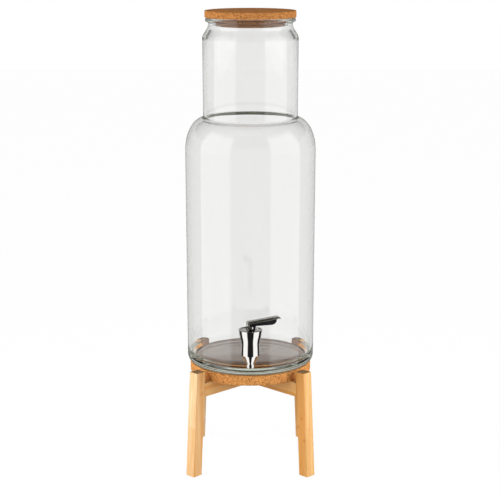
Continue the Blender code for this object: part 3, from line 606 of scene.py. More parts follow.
def wood_material(name, light, dark, angle, grain_axis, strip):
    """Glued strips of bamboo: each strip has its own tone, long fibres, and a darker node here and there."""
    material, tree, shader = new_material(name, specular_ior_level=0.3, coat_weight=0.04, coat_roughness=0.3)
    along, other = {"X": ((0.03, 1, 1), "Z"), "Z": ((1, 1, 0.03), "X")}[grain_axis]
    turn = math.radians(-angle)
    at = placed(tree, turn, centre=(0, -JAR_Y, 0))
    where = parts(at)
    fibre_at = output(tree, "ShaderNodeMapping", {"Vector": at, "Scale": along})
    strip_number = calc("FLOOR", calc("DIVIDE", where["Y"], strip))
    row_number = calc("FLOOR", calc("DIVIDE", where[other], strip))
    seed = output(tree, "ShaderNodeCombineXYZ", {"X": strip_number, "Y": row_number})
    tone = output(tree, "ShaderNodeTexWhiteNoise", {"Vector": seed}, noise_dimensions="3D")

    fibres = noise(fibre_at, 1500.0, 4.0, 0.65)
    streaks = noise(fibre_at, 260.0, 2.0, 0.5)
    # Painted shade: faces that look sideways across the arm are darker, standing in for the shade on the legs'
    # inner faces. The strips' flat sides look outwards and are also paler than their cut edges.
    facing = node(tree, "ShaderNodeTexCoord").outputs["Normal"]
    turned_facing = parts(turned_by(facing, turn))
    cut_edge_and_painted_shade = ranged(calc("ABSOLUTE", turned_facing["Y"]), 0.4, 0.7, 0.0, 0.4)
    darkness = calc("ADD", ranged(tone, 0.0, 1.0, 0.0, 0.6), cut_edge_and_painted_shade)
    base = blended(darkness, (*light, 1), (*dark, 1))
    base = blended(ranged(streaks, 0.35, 0.7, 0.0, 0.55), base, (*dark, 1))
    base = blended(ranged(fibres, 0.56, 0.72, 0.0, 0.5), base, (*FIBRE_LINE, 1), "MULTIPLY")

    # A node is a thin band across one strip, at its own height.
    shifted = calc("ADD", calc("DIVIDE", where[grain_axis], NODE_SPACING), calc("MULTIPLY", tone, 7.3))
    to_node = calc("ABSOLUTE", calc("SUBTRACT", calc("FRACT", shifted), 0.5))
    band = ranged(to_node, 0.0, 0.009, 0.5, 0.0)
    base = blended(band, base, (*NODE_BAND, 1), "MULTIPLY")
    end = ranged(calc("ABSOLUTE", turned_facing[grain_axis]), 0.85, 0.95)
    base = blended(end, base, (*END_GRAIN, 1))
    wired(shader, base_color=base, roughness=ranged(fibres, 0.3, 0.7, 0.38, 0.58))
    bumped(shader, calc("SUBTRACT", fibres, calc("MULTIPLY", band, 0.5)), 0.35, 0.15 * MM)
    return material


def cork_material(name, light, middle, dark):
    """Pressed cork: grains of mixed tones with dark bark specks and fine pits between them."""
    material, tree, shader = new_material(name, specular_ior_level=0.25)
    at = placed(tree)
    wobble = noise(at, 700.0, 2.0)
    bent = output(tree, "ShaderNodeVectorMath", {0: at, 1: calc("MULTIPLY", wobble, 0.9 * MM)},
                  operation="ADD")
    grains, edges = (node(tree, "ShaderNodeTexVoronoi", {"Vector": bent, "Scale": 620.0}, feature=feature)
                     for feature in ("F1", "DISTANCE_TO_EDGE"))
    to_edge = edges.outputs["Distance"]
    tone = node(tree, "ShaderNodeSeparateColor", {0: grains.outputs["Color"]}).outputs
    base = blended(ranged(tone[0], 0.1, 0.9), (*middle, 1), (*light, 1))
    fine = noise(at, 1900.0, 3.0, 0.7)
    clumps = noise(at, 480.0, 2.0, 0.6)
    specks = ranged(tone[1], 0.86, 0.93, 0.0, 0.8)
    seams = ranged(to_edge, 0.0, 0.09, 0.55, 0.0)
    for share in (ranged(fine, 0.35, 0.75, 0.0, 0.5), specks, seams, ranged(clumps, 0.5, 0.68, 0.0, 0.55)):
        base = blended(share, base, (*dark, 1))
    base = blended(ranged(clumps, 0.48, 0.3, 0.0, 0.6), base, (*light, 1))
    wired(shader, base_color=base, roughness=ranged(fine, 0.3, 0.7, 0.75, 0.95))
    bumped(shader, calc("ADD", calc("MULTIPLY", to_edge, 1.4), fine), 0.5, 0.4 * MM)
    return material


def glass_material():
    """Thick soda glass: clear, with a faint green in its depth, and upright cords of slightly uneven tint."""
    material, tree, shader = new_material("jar_glass", ior=1.5, roughness=0.0, transmission_weight=1.0)
    cords = noise(placed(tree, stretch=(1, 1, 0.2)), 40.0, 2.0)
    wired(shader, base_color=blended(cords, (0.928, 0.928, 0.926, 1), (0.948, 0.948, 0.946, 1)))
    depth = node(tree, "ShaderNodeVolumeAbsorption", {"Color": (0.60, 0.63, 0.50, 1), "Density": 6.5})
    tree.links.new(depth.outputs[0], tree.nodes["Material Output"].inputs["Volume"])
    return material


def metal_material(name, colour, smooth, rough, stretch, scratch):
    """Steel whose polish varies a little, with fine marks along one direction."""
    material, tree, shader = new_material(name, base_color=(*colour, 1), metallic=1.0)
    marks = noise(placed(tree, stretch=stretch), 2600.0, 3.0, 0.6)
    cloud = noise(placed(tree), 160.0)
    mixed = calc("ADD", calc("MULTIPLY", marks, 0.6), calc("MULTIPLY", cloud, 0.4))
    wired(shader, roughness=ranged(mixed, 0.3, 0.7, smooth, rough))
    bumped(shader, marks, scratch, 0.02 * MM)
    return material


def moulded_material(name, dark, light, clouds, polish, grain, rise, **plain):
    """Silicone or plastic: its tone and polish vary in soft clouds, over a faintly uneven skin."""
    material, tree, shader = new_material(name, **plain)
    at = placed(tree)
    cloud = noise(at, *clouds)
    tone = blended(cloud, (*dark, 1), (*light, 1))
    wired(shader, base_color=tone, roughness=ranged(cloud, 0.3, 0.7, *polish))
    bumped(shader, noise(at, *grain), rise, 0.05 * MM)
    return material


# ---- Stand

def leg_face_radius(z):
    """How far a leg's inner face is from the jar's axis at a height."""
    return LEG_FOOT_RADIUS - z * math.tan(LEG_LEAN) - LEG_WIDTH / 2 / math.cos(LEG_LEAN)


def arm(angle):
    """The stand's diagonal: +X runs outwards from the jar's axis at this angle."""
    return JAR_AXIS @ spun(angle)


def dowel_places(corner):
    """The radius and height of the middle of each of the two dowels at a corner."""
    middles = [centre_of(f"dowel_{corner}_{level}").z for level in ("low", "high")]
    return [(leg_face_radius(z) + DOWEL_IN_LEG - DOWEL_LENGTH / 2, z) for z in middles]


def dowel_holes(corner):
    """Cutters along +X for a corner's two dowels."""
    low, high = heights(f"dowel_{corner}_low")
    radius = (high - low) / 2 + GAP
    reach = DOWEL_LENGTH / 2 + GAP
    rod = [(0, reach), (radius, reach), (radius, -reach), (0, -reach)]
    return [("DIFFERENCE", turned(rod, Matrix.Translation((r, 0, z)) @ spun(90, "Y"), segments=24))
            for r, z in dowel_places(corner)]


def make_leg(corner, angle):
    half_depth = LEG_WIDTH / 2 / math.cos(LEG_LEAN)
    lean = Matrix.Identity(4)
    lean[0][2] = -math.tan(LEG_LEAN)
    low = (LEG_FOOT_RADIUS - half_depth, -LEG_WIDTH / 2, 0)
    high = (LEG_FOOT_RADIUS + half_depth, LEG_WIDTH / 2, heights(f"leg_{corner}")[1])
    mesh = carved(box_mesh(low, high, LEG_EDGE, lean), *dowel_holes(corner))
    mesh.transform(arm(angle))
    # Painted light: the legs on the left face the brighter softbox, so they get a paler bamboo than those on
    # the right.
    light = BAMBOO_PAINTED_LIT if corner.endswith("left") else BAMBOO_LIGHT
    material = wood_material(f"bamboo_leg_{corner}", light, BAMBOO_DARK, angle, "Z", LEG_WIDTH / 3)
    piece(f"leg_{corner}", shade(mesh), material, "stand", "bamboo")


def make_bar(name, angle, notch_on_top, ends):
    """A bar right across, half-lapped at its middle, with its ends cut to the leaning legs."""
    low, high = heights(name)
    face = leg_face_radius(low) - GAP
    mesh = box_mesh((-face, -BAR_WIDTH / 2, low), (face, BAR_WIDTH / 2, high))
    for corner in mesh.vertices:
        reach = leg_face_radius(corner.co.z) - GAP
        corner.co.x = math.copysign(reach, corner.co.x)
    middle = (low + high) / 2
    notch_low, notch_high = (middle - GAP / 2, high + BAR_WIDTH) if notch_on_top else (
        low - BAR_WIDTH, middle + GAP / 2)
    half = BAR_WIDTH / 2 + GAP
    notch = box_mesh((-half, -BAR_WIDTH, notch_low), (half, BAR_WIDTH, notch_high))
    holes = dowel_holes(ends[0])
    for operation, cutter in dowel_holes(ends[1]):
        cutter.transform(spun(180))
        holes.append((operation, cutter))
    mesh = carved(mesh, ("DIFFERENCE", notch), *holes, edge=BAR_EDGE)
    mesh.transform(arm(angle))
    material = wood_material(f"bamboo_{name}", BAMBOO_LIGHT, BAMBOO_DARK, angle, "X", BAR_WIDTH / 3)
    piece(name, shade(mesh), material, "stand", "bamboo")


def make_dowels():
    low, high = heights("dowel_front_left_low")
    radius = (high - low) / 2
    half = DOWEL_LENGTH / 2
    outline = [(0, half), (radius - DOWEL_CHAMFER, half), (radius, half - DOWEL_CHAMFER),
               (radius, DOWEL_CHAMFER - half), (radius - DOWEL_CHAMFER, -half), (0, -half)]
    peg = into_scene(turned(outline, Matrix.Identity(4), segments=24))
    points = []
    for corner, angle in CORNERS.items():
        points += [arm(angle) @ Vector((r, 0, z)) for r, z in dowel_places(corner)]
    seats = bpy.data.meshes.new("dowel_seats")
    seats.from_pydata(points, [], [])
    material = wood_material("beech_dowel", (0.62, 0.42, 0.25), (0.50, 0.31, 0.17), 0.0, "X", 2 * radius)
    mesh = grown(seats, peg_tree(), peg=peg, centre=(0, JAR_Y, 0), material=material)
    bpy.data.objects.remove(peg)
    names = [f"dowel_{corner}_{level}" for corner in CORNERS for level in ("low", "high")]
    piece("dowels", outwards(mesh), material, "stand", "dowel_wood", *names)


def make_cork_disc(name, material, body):
    outline = disc_outline(half_width_of(name), *heights(name), SOFT[name])
    piece(name, turned(outline, JAR_AXIS, JAR_SEGMENTS), material, body, "cork")


def make_stand():
    for corner, angle in CORNERS.items():
        make_leg(corner, angle)
    make_bar("cross_bar_lower", 45, True, ("back_right", "front_left"))
    make_bar("cross_bar_upper", 135, False, ("back_left", "front_right"))
    make_dowels()
    # The mat gets the brighter copy of the cork, painted light for the shade under the jar.
    make_cork_disc("cork_mat", CORK_PAINTED_LIGHTER, "stand")


# ---- Jar and lid

def body_radius_at(height):
    return BODY_RADIUS - BODY_TAPER * (BODY_HEIGHT - height) / (BODY_HEIGHT - HEEL_HEIGHT)


def jar_outside():
    """The outer outline from the lip down to the middle of the base."""
    edge = LIP_HEIGHT / 2
    points = ellipse((LIP_RADIUS - edge, JAR_HEIGHT - edge), edge, edge, 90, -90, 16)
    groove = (GROOVE_RADIUS, GROOVE_LEVEL)
    neck_top = (NECK_RADIUS, NECK_TOP)
    points += [groove, *soft_s(groove, neck_top, 22), neck_top]
    neck_foot = NECK_RADIUS - NECK_TAPER
    width = BODY_RADIUS - neck_foot + SHOULDER_INSET
    start = math.degrees(math.acos(SHOULDER_INSET / width))
    shoulder = ellipse((BODY_RADIUS - width, BODY_HEIGHT), width, SHOULDER_HEIGHT, start, 0, 28)
    junction = softened([neck_top, shoulder[0], shoulder[3]], JUNCTION_RADIUS, steps=8)[1:-1]
    points += [*straight(neck_top, junction[0], 12), *junction, *shoulder[3:]]
    heel_radius = body_radius_at(HEEL_HEIGHT)
    heel = ellipse((heel_radius - HEEL_WIDTH, HEEL_HEIGHT), HEEL_WIDTH, HEEL_HEIGHT, 0, -90, 14)
    points += [*straight(shoulder[-1], heel[0], 76), *heel]
    return points + [*straight(heel[-1], (0, PUNT_DEPTH), 8), (0, PUNT_DEPTH)]


def jar_inside():
    """The inner outline from the middle of the floor up to the mouth."""
    foot_radius = body_radius_at(HEEL_HEIGHT) - WALL
    middle = (foot_radius - FLOOR_FILLET, FLOOR_THICKNESS + FLOOR_FILLET)
    fillet = ellipse(middle, FLOOR_FILLET, FLOOR_FILLET, -90, 0, 12)
    points = [(0, FLOOR_THICKNESS), *straight((0, FLOOR_THICKNESS), fillet[0], 6), *fillet]
    neck = NECK_RADIUS - WALL
    inner_foot = neck - NECK_TAPER
    width = BODY_RADIUS - WALL - inner_foot + SHOULDER_INSET
    end = math.degrees(math.acos(SHOULDER_INSET / width))
    shoulder = ellipse((inner_foot - SHOULDER_INSET, BODY_HEIGHT), width, SHOULDER_HEIGHT - WALL, 0, end, 26)
    neck_end = (neck, NECK_TOP - WALL / 2)
    mouth_start = (MOUTH_RADIUS, GROOVE_LEVEL - WALL)
    junction = softened([shoulder[-5], shoulder[-1], neck_end], 2 * JUNCTION_RADIUS, steps=8)[1:-1]
    points += [*straight(fillet[-1], shoulder[0], 74), *shoulder[:-4], *junction]
    points += straight(junction[-1], neck_end, 12)
    points += [neck_end, *soft_s(neck_end, mouth_start, 20), mouth_start]
    edge = LIP_HEIGHT / 4
    return points + ellipse((MOUTH_RADIUS + edge, JAR_HEIGHT - edge), -edge, edge, 0, 90, 8)


def make_jar():
    line = [(r, z + JAR_BASE_Z) for r, z in jar_inside() + jar_outside()]
    wall_y = JAR_Y - body_radius_at(INLET_Z - JAR_BASE_Z) - TAP_Y
    hole = disc_outline(TAP_HOLE_RADIUS, wall_y - 2 * WALL, wall_y + 3 * WALL, 0)
    jar = carved(turned(line, JAR_AXIS, JAR_SEGMENTS), ("DIFFERENCE", turned(hole, SHANK_LINE, 64)))
    piece("glass_jar", shade(jar, 40), GLASS, "vessel", "glass")


def make_lid():
    make_cork_disc("lid_disc", CORK, "lid")
    # The plug gets the brighter copy of the cork, painted light for the shade behind the glass of the neck.
    make_cork_disc("lid_plug", CORK_PAINTED_LIGHTER, "lid")

    # The seal is a thin sleeve with two soft ribs that grip the mouth.
    low, high = heights("lid_seal")
    inner = half_width_of("lid_plug") + GAP
    web = inner + LID_SEAL_WEB
    outline = [(inner, high), (web, high)]
    for centre in (high - 2 * LID_SEAL_RIB, low + 2 * LID_SEAL_RIB):
        outline += ellipse((web, centre), half_width_of("lid_seal") - web, LID_SEAL_RIB, 90, -90, 10)
    outline += [(web, low), (inner, low)]
    piece("lid_seal", turned(outline, JAR_AXIS, JAR_SEGMENTS, closed=True), CLEAR_SILICONE, "lid", "silicone")


# ---- Tap

def along_shank(name):
    """How far from the tap's axis a clamp piece starts and ends."""
    low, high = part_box(name)
    return low.y - TAP_Y, high.y - TAP_Y


def make_tap_body():
    belly_z = INLET_Z + BELLY[1]
    flare_z = INLET_Z + FLARE[1]
    nozzle_top = (NOZZLE_RADIUS, NOZZLE_END_Z + NOZZLE_LENGTH)
    stations = [(half_width_of("tap_body"), TAP_TOP_Z), (FLARE[0], flare_z), (WAIST_RADIUS, INLET_Z),
                (BELLY[0], belly_z)]
    outside = [(0, TAP_TOP_Z), *flowing(stations, 14), nozzle_top, (NOZZLE_RADIUS, NOZZLE_END_Z),
               (0, NOZZLE_END_Z)]
    body = turned(softened(outside, SOFT["tap_body"]), TAP_AXIS)
    boss = turned(disc_outline(BOSS_RADIUS, 0, BOSS_REACH, SOFT["tap_body"]), SHANK_LINE)

    recess = BONNET_RECESS_RADIUS + GAP
    thread_low, thread = BONNET_BOTTOM_Z - GAP, BONNET_THREAD_RADIUS + GAP
    ledge = FLANGE_Z - BONNET_SEAL_ROOM
    seat_top = INLET_Z - SEAT_BELOW_INLET
    seat_end = seat_top - SEAT_HEIGHT
    above, below = TAP_TOP_Z + WALL, NOZZLE_END_Z - WALL
    chamber = [(0, above), (recess, above), (recess, ledge), (thread, ledge), (thread, thread_low),
               (CHAMBER_RADIUS, thread_low), (CHAMBER_RADIUS, seat_top), (NOZZLE_BORE, seat_end),
               (NOZZLE_BORE, below), (0, below)]
    port_start = along_shank("inlet_shank")[0] - GAP
    port = disc_outline(SHANK_RADIUS + GAP, port_start, BOSS_REACH + WALL, 0)
    inlet = disc_outline(SHANK_BORE, 0, BOSS_REACH, 0)
    body = carved(body, ("UNION", boss), ("DIFFERENCE", turned(chamber, TAP_AXIS)),
                  ("DIFFERENCE", turned(port, SHANK_LINE)), ("DIFFERENCE", turned(inlet, SHANK_LINE)))
    piece("tap_body", shade(body, 30), POLISHED, "vessel", "polished_steel")


def make_bonnet():
    radius = half_width_of("bonnet")
    hole = STEM_RADIUS + STEM_CLEARANCE
    thread = BONNET_THREAD_RADIUS
    middle = (BONNET_TOP_Z + BONNET_BOTTOM_Z) / 2
    groove = hole + 2 * STEM_SEAL_WIRE + 2 * GAP
    groove_low, groove_high = middle - STEM_SEAL_GROOVE / 2, middle + STEM_SEAL_GROOVE / 2
    outline = [(hole, BONNET_TOP_Z), (radius, BONNET_TOP_Z), (radius, FLANGE_Z), (thread, FLANGE_Z)]
    outline += straight(outline[-1], (thread, BONNET_BOTTOM_Z), 48)
    outline += [(thread, BONNET_BOTTOM_Z), (hole, BONNET_BOTTOM_Z), (hole, groove_low), (groove, groove_low),
                (groove, groove_high), (hole, groove_high)]
    bonnet = turned(softened(outline, SOFT["bonnet"], closed=True), TAP_AXIS, closed=True,
                    thread_radius=thread, thread_low=BONNET_BOTTOM_Z + BONNET_PITCH / 2,
                    thread_high=FLANGE_Z - BONNET_PITCH / 2, thread_depth=BONNET_THREAD_DEPTH,
                    pitch=BONNET_PITCH)
    piece("bonnet", bonnet, PLAIN_STEEL, "vessel", "plain_steel")
    seal = flat_ring("bonnet_seal", thread + GAP, *heights("bonnet_seal"), TAP_AXIS)
    piece("bonnet_seal", seal, SILICONE, "vessel", "silicone")
    wire = ellipse((STEM_RADIUS + GAP + STEM_SEAL_WIRE, middle), STEM_SEAL_WIRE, STEM_SEAL_WIRE, 90, -255, 23)
    piece("stem_seal", turned(wire, TAP_AXIS, closed=True), SILICONE, "vessel", "silicone")


def make_clamp():
    """The threaded shank through the glass, and the rings and the nut that clamp and seal it."""
    near, far = along_shank("inlet_shank")
    collar_near = along_shank("shank_seal")[1] + GAP
    collar_far = collar_near + COLLAR_THICKNESS
    collar = half_width_of("inlet_shank")
    hole = SHANK_RADIUS + GAP
    outline = [(SHANK_BORE, far), (SHANK_RADIUS - SHANK_CHAMFER, far), (SHANK_RADIUS, far - SHANK_CHAMFER)]
    outline += straight(outline[-1], (SHANK_RADIUS, collar_far), 110)
    outline += [(SHANK_RADIUS, collar_far), (collar, collar_far), (collar, collar_near),
                (SHANK_RADIUS, collar_near), (SHANK_RADIUS, near), (SHANK_BORE, near)]
    shank = turned(softened(outline, SOFT["inlet_shank"], closed=True, steps=3), SHANK_LINE, 64, closed=True,
                   thread_radius=SHANK_RADIUS, thread_low=collar_far + SHANK_PLAIN,
                   thread_high=far - 1.1 * SHANK_CHAMFER, thread_depth=SHANK_THREAD_DEPTH, pitch=SHANK_PITCH)
    piece("inlet_shank", shank, PLAIN_STEEL, "vessel", "plain_steel")

    for name, material, slot in (("shank_seal", SILICONE, "silicone"),
                                 ("clamp_washer", PLAIN_STEEL, "plain_steel")):
        ring = flat_ring(name, hole, *along_shank(name), SHANK_LINE)
        piece(name, ring, material, "vessel", slot)

    # The gaskets are flat on one side, and moulded to the curve of the glass on the other.
    outer_radius = body_radius_at(INLET_Z - JAR_BASE_Z)
    for name, operation, face in (("outer_gasket", "DIFFERENCE", outer_radius + GAP),
                                  ("inner_gasket", "INTERSECT", outer_radius - WALL - GAP)):
        start, end = along_shank(name)
        if operation == "DIFFERENCE":
            end += WALL / 2
        else:
            start -= WALL / 2
        reach = 2 * half_width_of(name)
        glass_face = disc_outline(face, INLET_Z - reach, INLET_Z + reach, 0)
        gasket = carved(flat_ring(name, hole, start, end, SHANK_LINE),
                        (operation, turned(glass_face, JAR_AXIS, 4 * JAR_SEGMENTS)))
        piece(name, shade(gasket), SILICONE, "vessel", "silicone")

    # The nut's corners are turned down at both faces.
    near, far = along_shank("lock_nut")
    corner = half_width_of("lock_nut")
    flat_radius = corner * math.cos(math.radians(30))
    drop = (corner - flat_radius) * math.tan(math.radians(30))
    hexagon = turned([(0, far), (corner, far), (corner, near), (0, near)], SHANK_LINE, 6)
    face = flat_radius - SOFT["lock_nut"]
    cone = [(0, far), (face, far), (corner, far - drop), (corner, near + drop), (face, near), (0, near)]
    wide = hole + NUT_CHAMFER
    bore = [(0, far + GAP), (wide, far + GAP), (hole, far - NUT_CHAMFER), (hole, near + NUT_CHAMFER),
            (wide, near - GAP), (0, near - GAP)]
    nut = carved(hexagon, ("INTERSECT", turned(cone, SHANK_LINE)), ("DIFFERENCE", turned(bore, SHANK_LINE)))
    piece("lock_nut", shade(nut), PLAIN_STEEL, "vessel", "plain_steel")


def make_spring():
    low, high = heights("return_spring")
    wire = SPRING_WIRE / 2
    empty = bpy.data.meshes.new("start")
    mesh = grown(empty, coil_tree(), coil_radius=SPRING_RADIUS, wire_radius=wire, turns=float(SPRING_TURNS),
                 low=low + wire, high=high - wire, closed_rise=1.1 * SPRING_WIRE,
                 steps=SPRING_TURNS * 48 + 1, material=PLAIN_STEEL)
    mesh.transform(TAP_AXIS)
    spring = piece("return_spring", outwards(mesh), PLAIN_STEEL, "vessel", "plain_steel")
    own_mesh(spring)


def make_plunger():
    """The steel cup and the silicone cone, which rise off the seat together."""
    hole = STEM_RADIUS + GAP
    cup = flat_ring("spring_seat", hole, *heights("spring_seat"), TAP_AXIS)
    piece("spring_seat", cup, PLAIN_STEEL, "plunger", "plain_steel")
    low, high = heights("seat_plug")
    slope = (CHAMBER_RADIUS - NOZZLE_BORE) / SEAT_HEIGHT
    rim = half_width_of("seat_plug")
    cone_high = INLET_Z - SEAT_BELOW_INLET - PLUG_RIM / slope
    low_radius = rim - (cone_high - low) * slope
    foot = low + PLUG_FLOOR
    pocket = STEM_FOOT_RADIUS + GAP
    pocket_high = foot + STEM_FOOT + 2 * GAP
    outline = [(0, foot), (pocket, foot), (pocket, pocket_high), (hole, pocket_high), (hole, high),
               (rim, high), (rim, cone_high), (low_radius, low), (0, low)]
    plug = turned(softened(outline, SOFT["seat_plug"]), TAP_AXIS)
    piece("seat_plug", plug, SILICONE, "plunger", "silicone")


def width_across(name):
    """How wide a piece is across the lever's length."""
    points = [LEVER_PLACE.inverted() @ v.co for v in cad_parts[name].data.vertices]
    return max(p.y for p in points) - min(p.y for p in points)


def make_stem():
    low = heights("stem")[0]
    foot_top = low + STEM_FOOT
    outline = [(0, PIN_Z), (STEM_RADIUS, PIN_Z), (STEM_RADIUS, foot_top), (STEM_FOOT_RADIUS, foot_top),
               (STEM_FOOT_RADIUS, low), (0, low)]
    shaft = turned(softened(outline, SOFT["stem"]), TAP_AXIS @ spun(LEVER_YAW))
    half = EYE_THICKNESS / 2
    eye = disc_outline(EYE_RADIUS, -half, half, SOFT["stem_eye"])
    cheeks = []
    for side in (-1, 1):
        inner, outer = sorted((side * half, side * (half + 2 * EYE_RADIUS)))
        cheek = box_mesh((-1.5 * EYE_RADIUS, inner, -EYE_RADIUS), (1.5 * EYE_RADIUS, outer, EYE_RADIUS + GAP))
        cheek.transform(LEVER_PLACE)
        cheeks.append(("DIFFERENCE", cheek))
    pin_hole = disc_outline(PIN_RADIUS + GAP, -3 * half, 3 * half, 0)
    shaft = carved(shaft, ("UNION", turned(eye, PIN_LINE)), *cheeks,
                   ("DIFFERENCE", turned(pin_hole, PIN_LINE)))
    piece("stem", shade(shaft), PLAIN_STEEL, "stem", "plain_steel")

    # The pin has a domed head at each end.
    reach = width_across("pivot_pin") / 2
    dome, head = 0.5 * MM, 2.1 * MM
    end = ellipse((0, reach - dome), head, dome, 90, 0, 8)
    outline = [*end, (PIN_RADIUS, reach - dome)]
    outline += [(r, -z) for r, z in reversed(outline)]
    piece("pivot_pin", turned(outline, PIN_LINE), POLISHED, "stem", "polished_steel")


# ---- Lever

def cover_top(a):
    """The height of the cover's upper face above the pin, along the lever."""
    drop = COVER_TIP_DROP * max(0.0, (a - COVER_REACH + COVER_TIP) / COVER_TIP) ** 2
    return COVER_ABOVE_PIN + a * math.tan(COVER_TILT) - drop


def cover_outline():
    """The bent strip from the side: up the rear, round the bend and out to the tip."""
    rear = -LEVER_REAR
    middle = (rear + COVER_BEND, cover_top(rear + COVER_BEND) - COVER_BEND)
    reach = [COVER_REACH - COVER_TIP * (1 - i / 8) for i in range(9)]
    top = [(a, cover_top(a)) for a in reach]
    inner_bend = COVER_BEND - COVER_THICKNESS
    outside = [(rear, LEVER_FOOT), *ellipse(middle, -COVER_BEND, COVER_BEND, 0, 90, 10), *top]
    inside = [(a, z - COVER_THICKNESS) for a, z in reversed(top)]
    inside += [*ellipse(middle, -inner_bend, inner_bend, 90, 0, 8), (rear + COVER_THICKNESS, LEVER_FOOT)]
    return outside + inside


def core_outline():
    """The plastic core from the side, under the cover."""
    rear = -LEVER_REAR + COVER_THICKNESS + GAP
    under = COVER_THICKNESS + GAP
    chamfer = 1.0 * MM
    centre = (CORE_REACH - CORE_END_RADIUS, UNDERSIDE_ABOVE_PIN + CORE_END_RADIUS)
    lift = (cover_top(CORE_REACH) - under - centre[1]) / CORE_END_RADIUS
    points = [(rear, LEVER_FOOT), (rear, cover_top(rear) - under - chamfer),
              (rear + chamfer, cover_top(rear + chamfer) - under)]
    points += ellipse(centre, CORE_END_RADIUS, CORE_END_RADIUS, math.degrees(math.asin(lift)), -90, 20)
    fillet = (FOOT_FRONT + UNDERSIDE_FILLET, UNDERSIDE_ABOVE_PIN - UNDERSIDE_FILLET)
    points += ellipse(fillet, UNDERSIDE_FILLET, UNDERSIDE_FILLET, 90, 180, 8)
    return points + [(FOOT_FRONT, LEVER_FOOT + chamfer / 2), (FOOT_FRONT - chamfer / 2, LEVER_FOOT)]


def lever_block(points, width, reach, corner):
    """An outline from the side made as wide as the lever, and the cutter that rounds its front corners."""
    half = width / 2
    block = extruded([(a, -half, z) for a, z in points], (0, width, 0))
    plan = softened([(-COVER_REACH, -half), (reach, -half), (reach, half), (-COVER_REACH, half)], corner,
                    closed=True, steps=10)
    tall = extruded([(a, b, -COVER_REACH) for a, b in plan], (0, 0, 2 * COVER_REACH))
    return block, ("INTERSECT", tall)


def make_lever():
    block, rounding = lever_block(cover_outline(), width_across("lever_cover"), COVER_REACH, COVER_CORNER)
    cover = carved(block, rounding, edge=COVER_EDGE, edge_steps=2)
    cover.transform(LEVER_PLACE)
    piece("lever_cover", shade(cover, 30), BRUSHED, "lever", "plain_steel")

    width = width_across("lever_core")
    half_slot = EYE_THICKNESS / 2 + GAP
    slot = box_mesh((-2 * FOOT_FRONT, -half_slot, LEVER_FOOT - WALL),
                    (2 * FOOT_FRONT, half_slot, EYE_RADIUS + 2 * GAP))
    pin_hole = turned(disc_outline(PIN_RADIUS + GAP, -width, width, 0), spun(90, "X"), 48)
    block, rounding = lever_block(core_outline(), width, CORE_REACH, CORE_CORNER)
    core = carved(block, rounding, ("DIFFERENCE", slot), ("DIFFERENCE", pin_hole), edge=CORE_EDGE)
    core.transform(LEVER_PLACE)
    piece("lever_core", shade(core, 30), BLACK_PLASTIC, "lever", "black_plastic")


# ---- Studio

def softbox(name, azimuth, glow):
    """A tall soft light beside the jar. Azimuth 0 is straight in front, and plus is to the right."""
    light = bpy.data.lights.new(name, "AREA")
    light.shape = "RECTANGLE"
    light.size = SOFTBOX_WIDTH
    light.size_y = SOFTBOX_HEIGHT
    light.energy = glow * math.pi * SOFTBOX_WIDTH * SOFTBOX_HEIGHT
    lamp = into_scene(light, name)
    turn = math.radians(azimuth)
    middle = Vector((0, JAR_Y, SOFTBOX_FOOT + SOFTBOX_HEIGHT / 2))
    lamp.location = middle + Vector((math.sin(turn), -math.cos(turn), 0)) * SOFTBOX_DISTANCE
    lamp.rotation_euler = (math.radians(90), 0, turn)
    lamp.visible_camera = False
    lamp.visible_transmission = False
    lamp.visible_glossy = False


def make_world():
    """White where it is seen, dim where it fills the shadows, and a ring of dark and light in reflections.

    Round the ring from the front come a dark gap, a tall softbox, a dark wall and the pale sweep behind. What
    is mirrored inside the glass also shows a bright low wall. Each pair of numbers is where one part of the
    ring fades into the next, as the Y or the Z of the direction.
    """
    world = bpy.data.worlds.new("studio")
    bpy.context.scene.world = world
    world.use_nodes = True
    tree = world.node_tree
    ray = node(tree, "ShaderNodeLightPath").outputs
    mirrored = calc("GREATER_THAN", ray["Glossy Depth"], 0.5)
    straight_through = calc("GREATER_THAN", ray["Is Transmission Ray"], mirrored)
    seen = calc("MAXIMUM", ray["Is Camera Ray"], straight_through)
    way = node(tree, "ShaderNodeTexCoord").outputs["Generated"]
    level = output(tree, "ShaderNodeVectorMath", {0: way, 1: (1, 1, 0)}, operation="MULTIPLY")
    back = parts(output(tree, "ShaderNodeVectorMath", {0: level}, operation="NORMALIZE"))["Y"]
    softboxes = calc("MULTIPLY", ranged(back, *FRONT_GAP_END), ranged(back, *SOFTBOX_END, 1, 0))
    sweep = ranged(back, *SWEEP_START, 0, SWEEP_GLOW)
    ring = calc("MULTIPLY_ADD", softboxes, SOFTBOX_GLOW, sweep)
    up = parts(way)["Z"]
    lit = calc("MULTIPLY_ADD", ranged(up, *RING_TOP, 1, 0), ring, DARK_GLOW)
    low_wall = ranged(up, *LOW_WALL_TOP, INSIDE_GLOW, DARK_GLOW)
    in_glass = calc("MAXIMUM", lit, calc("MULTIPLY", ray["Is Transmission Ray"], low_wall))
    unseen = output(tree, "ShaderNodeMix", {0: ray["Is Diffuse Ray"], 2: in_glass, 3: WORLD_FILL},
                    data_type="FLOAT")
    strength = output(tree, "ShaderNodeMix", {0: seen, 2: unseen, 3: 1.0}, data_type="FLOAT")
    background = tree.nodes["Background"]
    background.inputs["Color"].default_value = (1, 1, 1, 1)
    tree.links.new(strength, background.inputs["Strength"])


def make_floor():
    material = new_material("pale_floor", base_color=(0.03, 0.03, 0.03, 1), roughness=0.9,
                            emission_color=(1, 1, 1, 1), emission_strength=FLOOR_GLOW,
                            specular_ior_level=0.0)[0]
    floor = into_scene(box_mesh((-FLOOR_REACH, -FLOOR_REACH, -0.02), (FLOOR_REACH, FLOOR_REACH, 0)), "floor")
    floor.data.materials.append(material)
    floor.visible_glossy = False
    floor.visible_diffuse = False


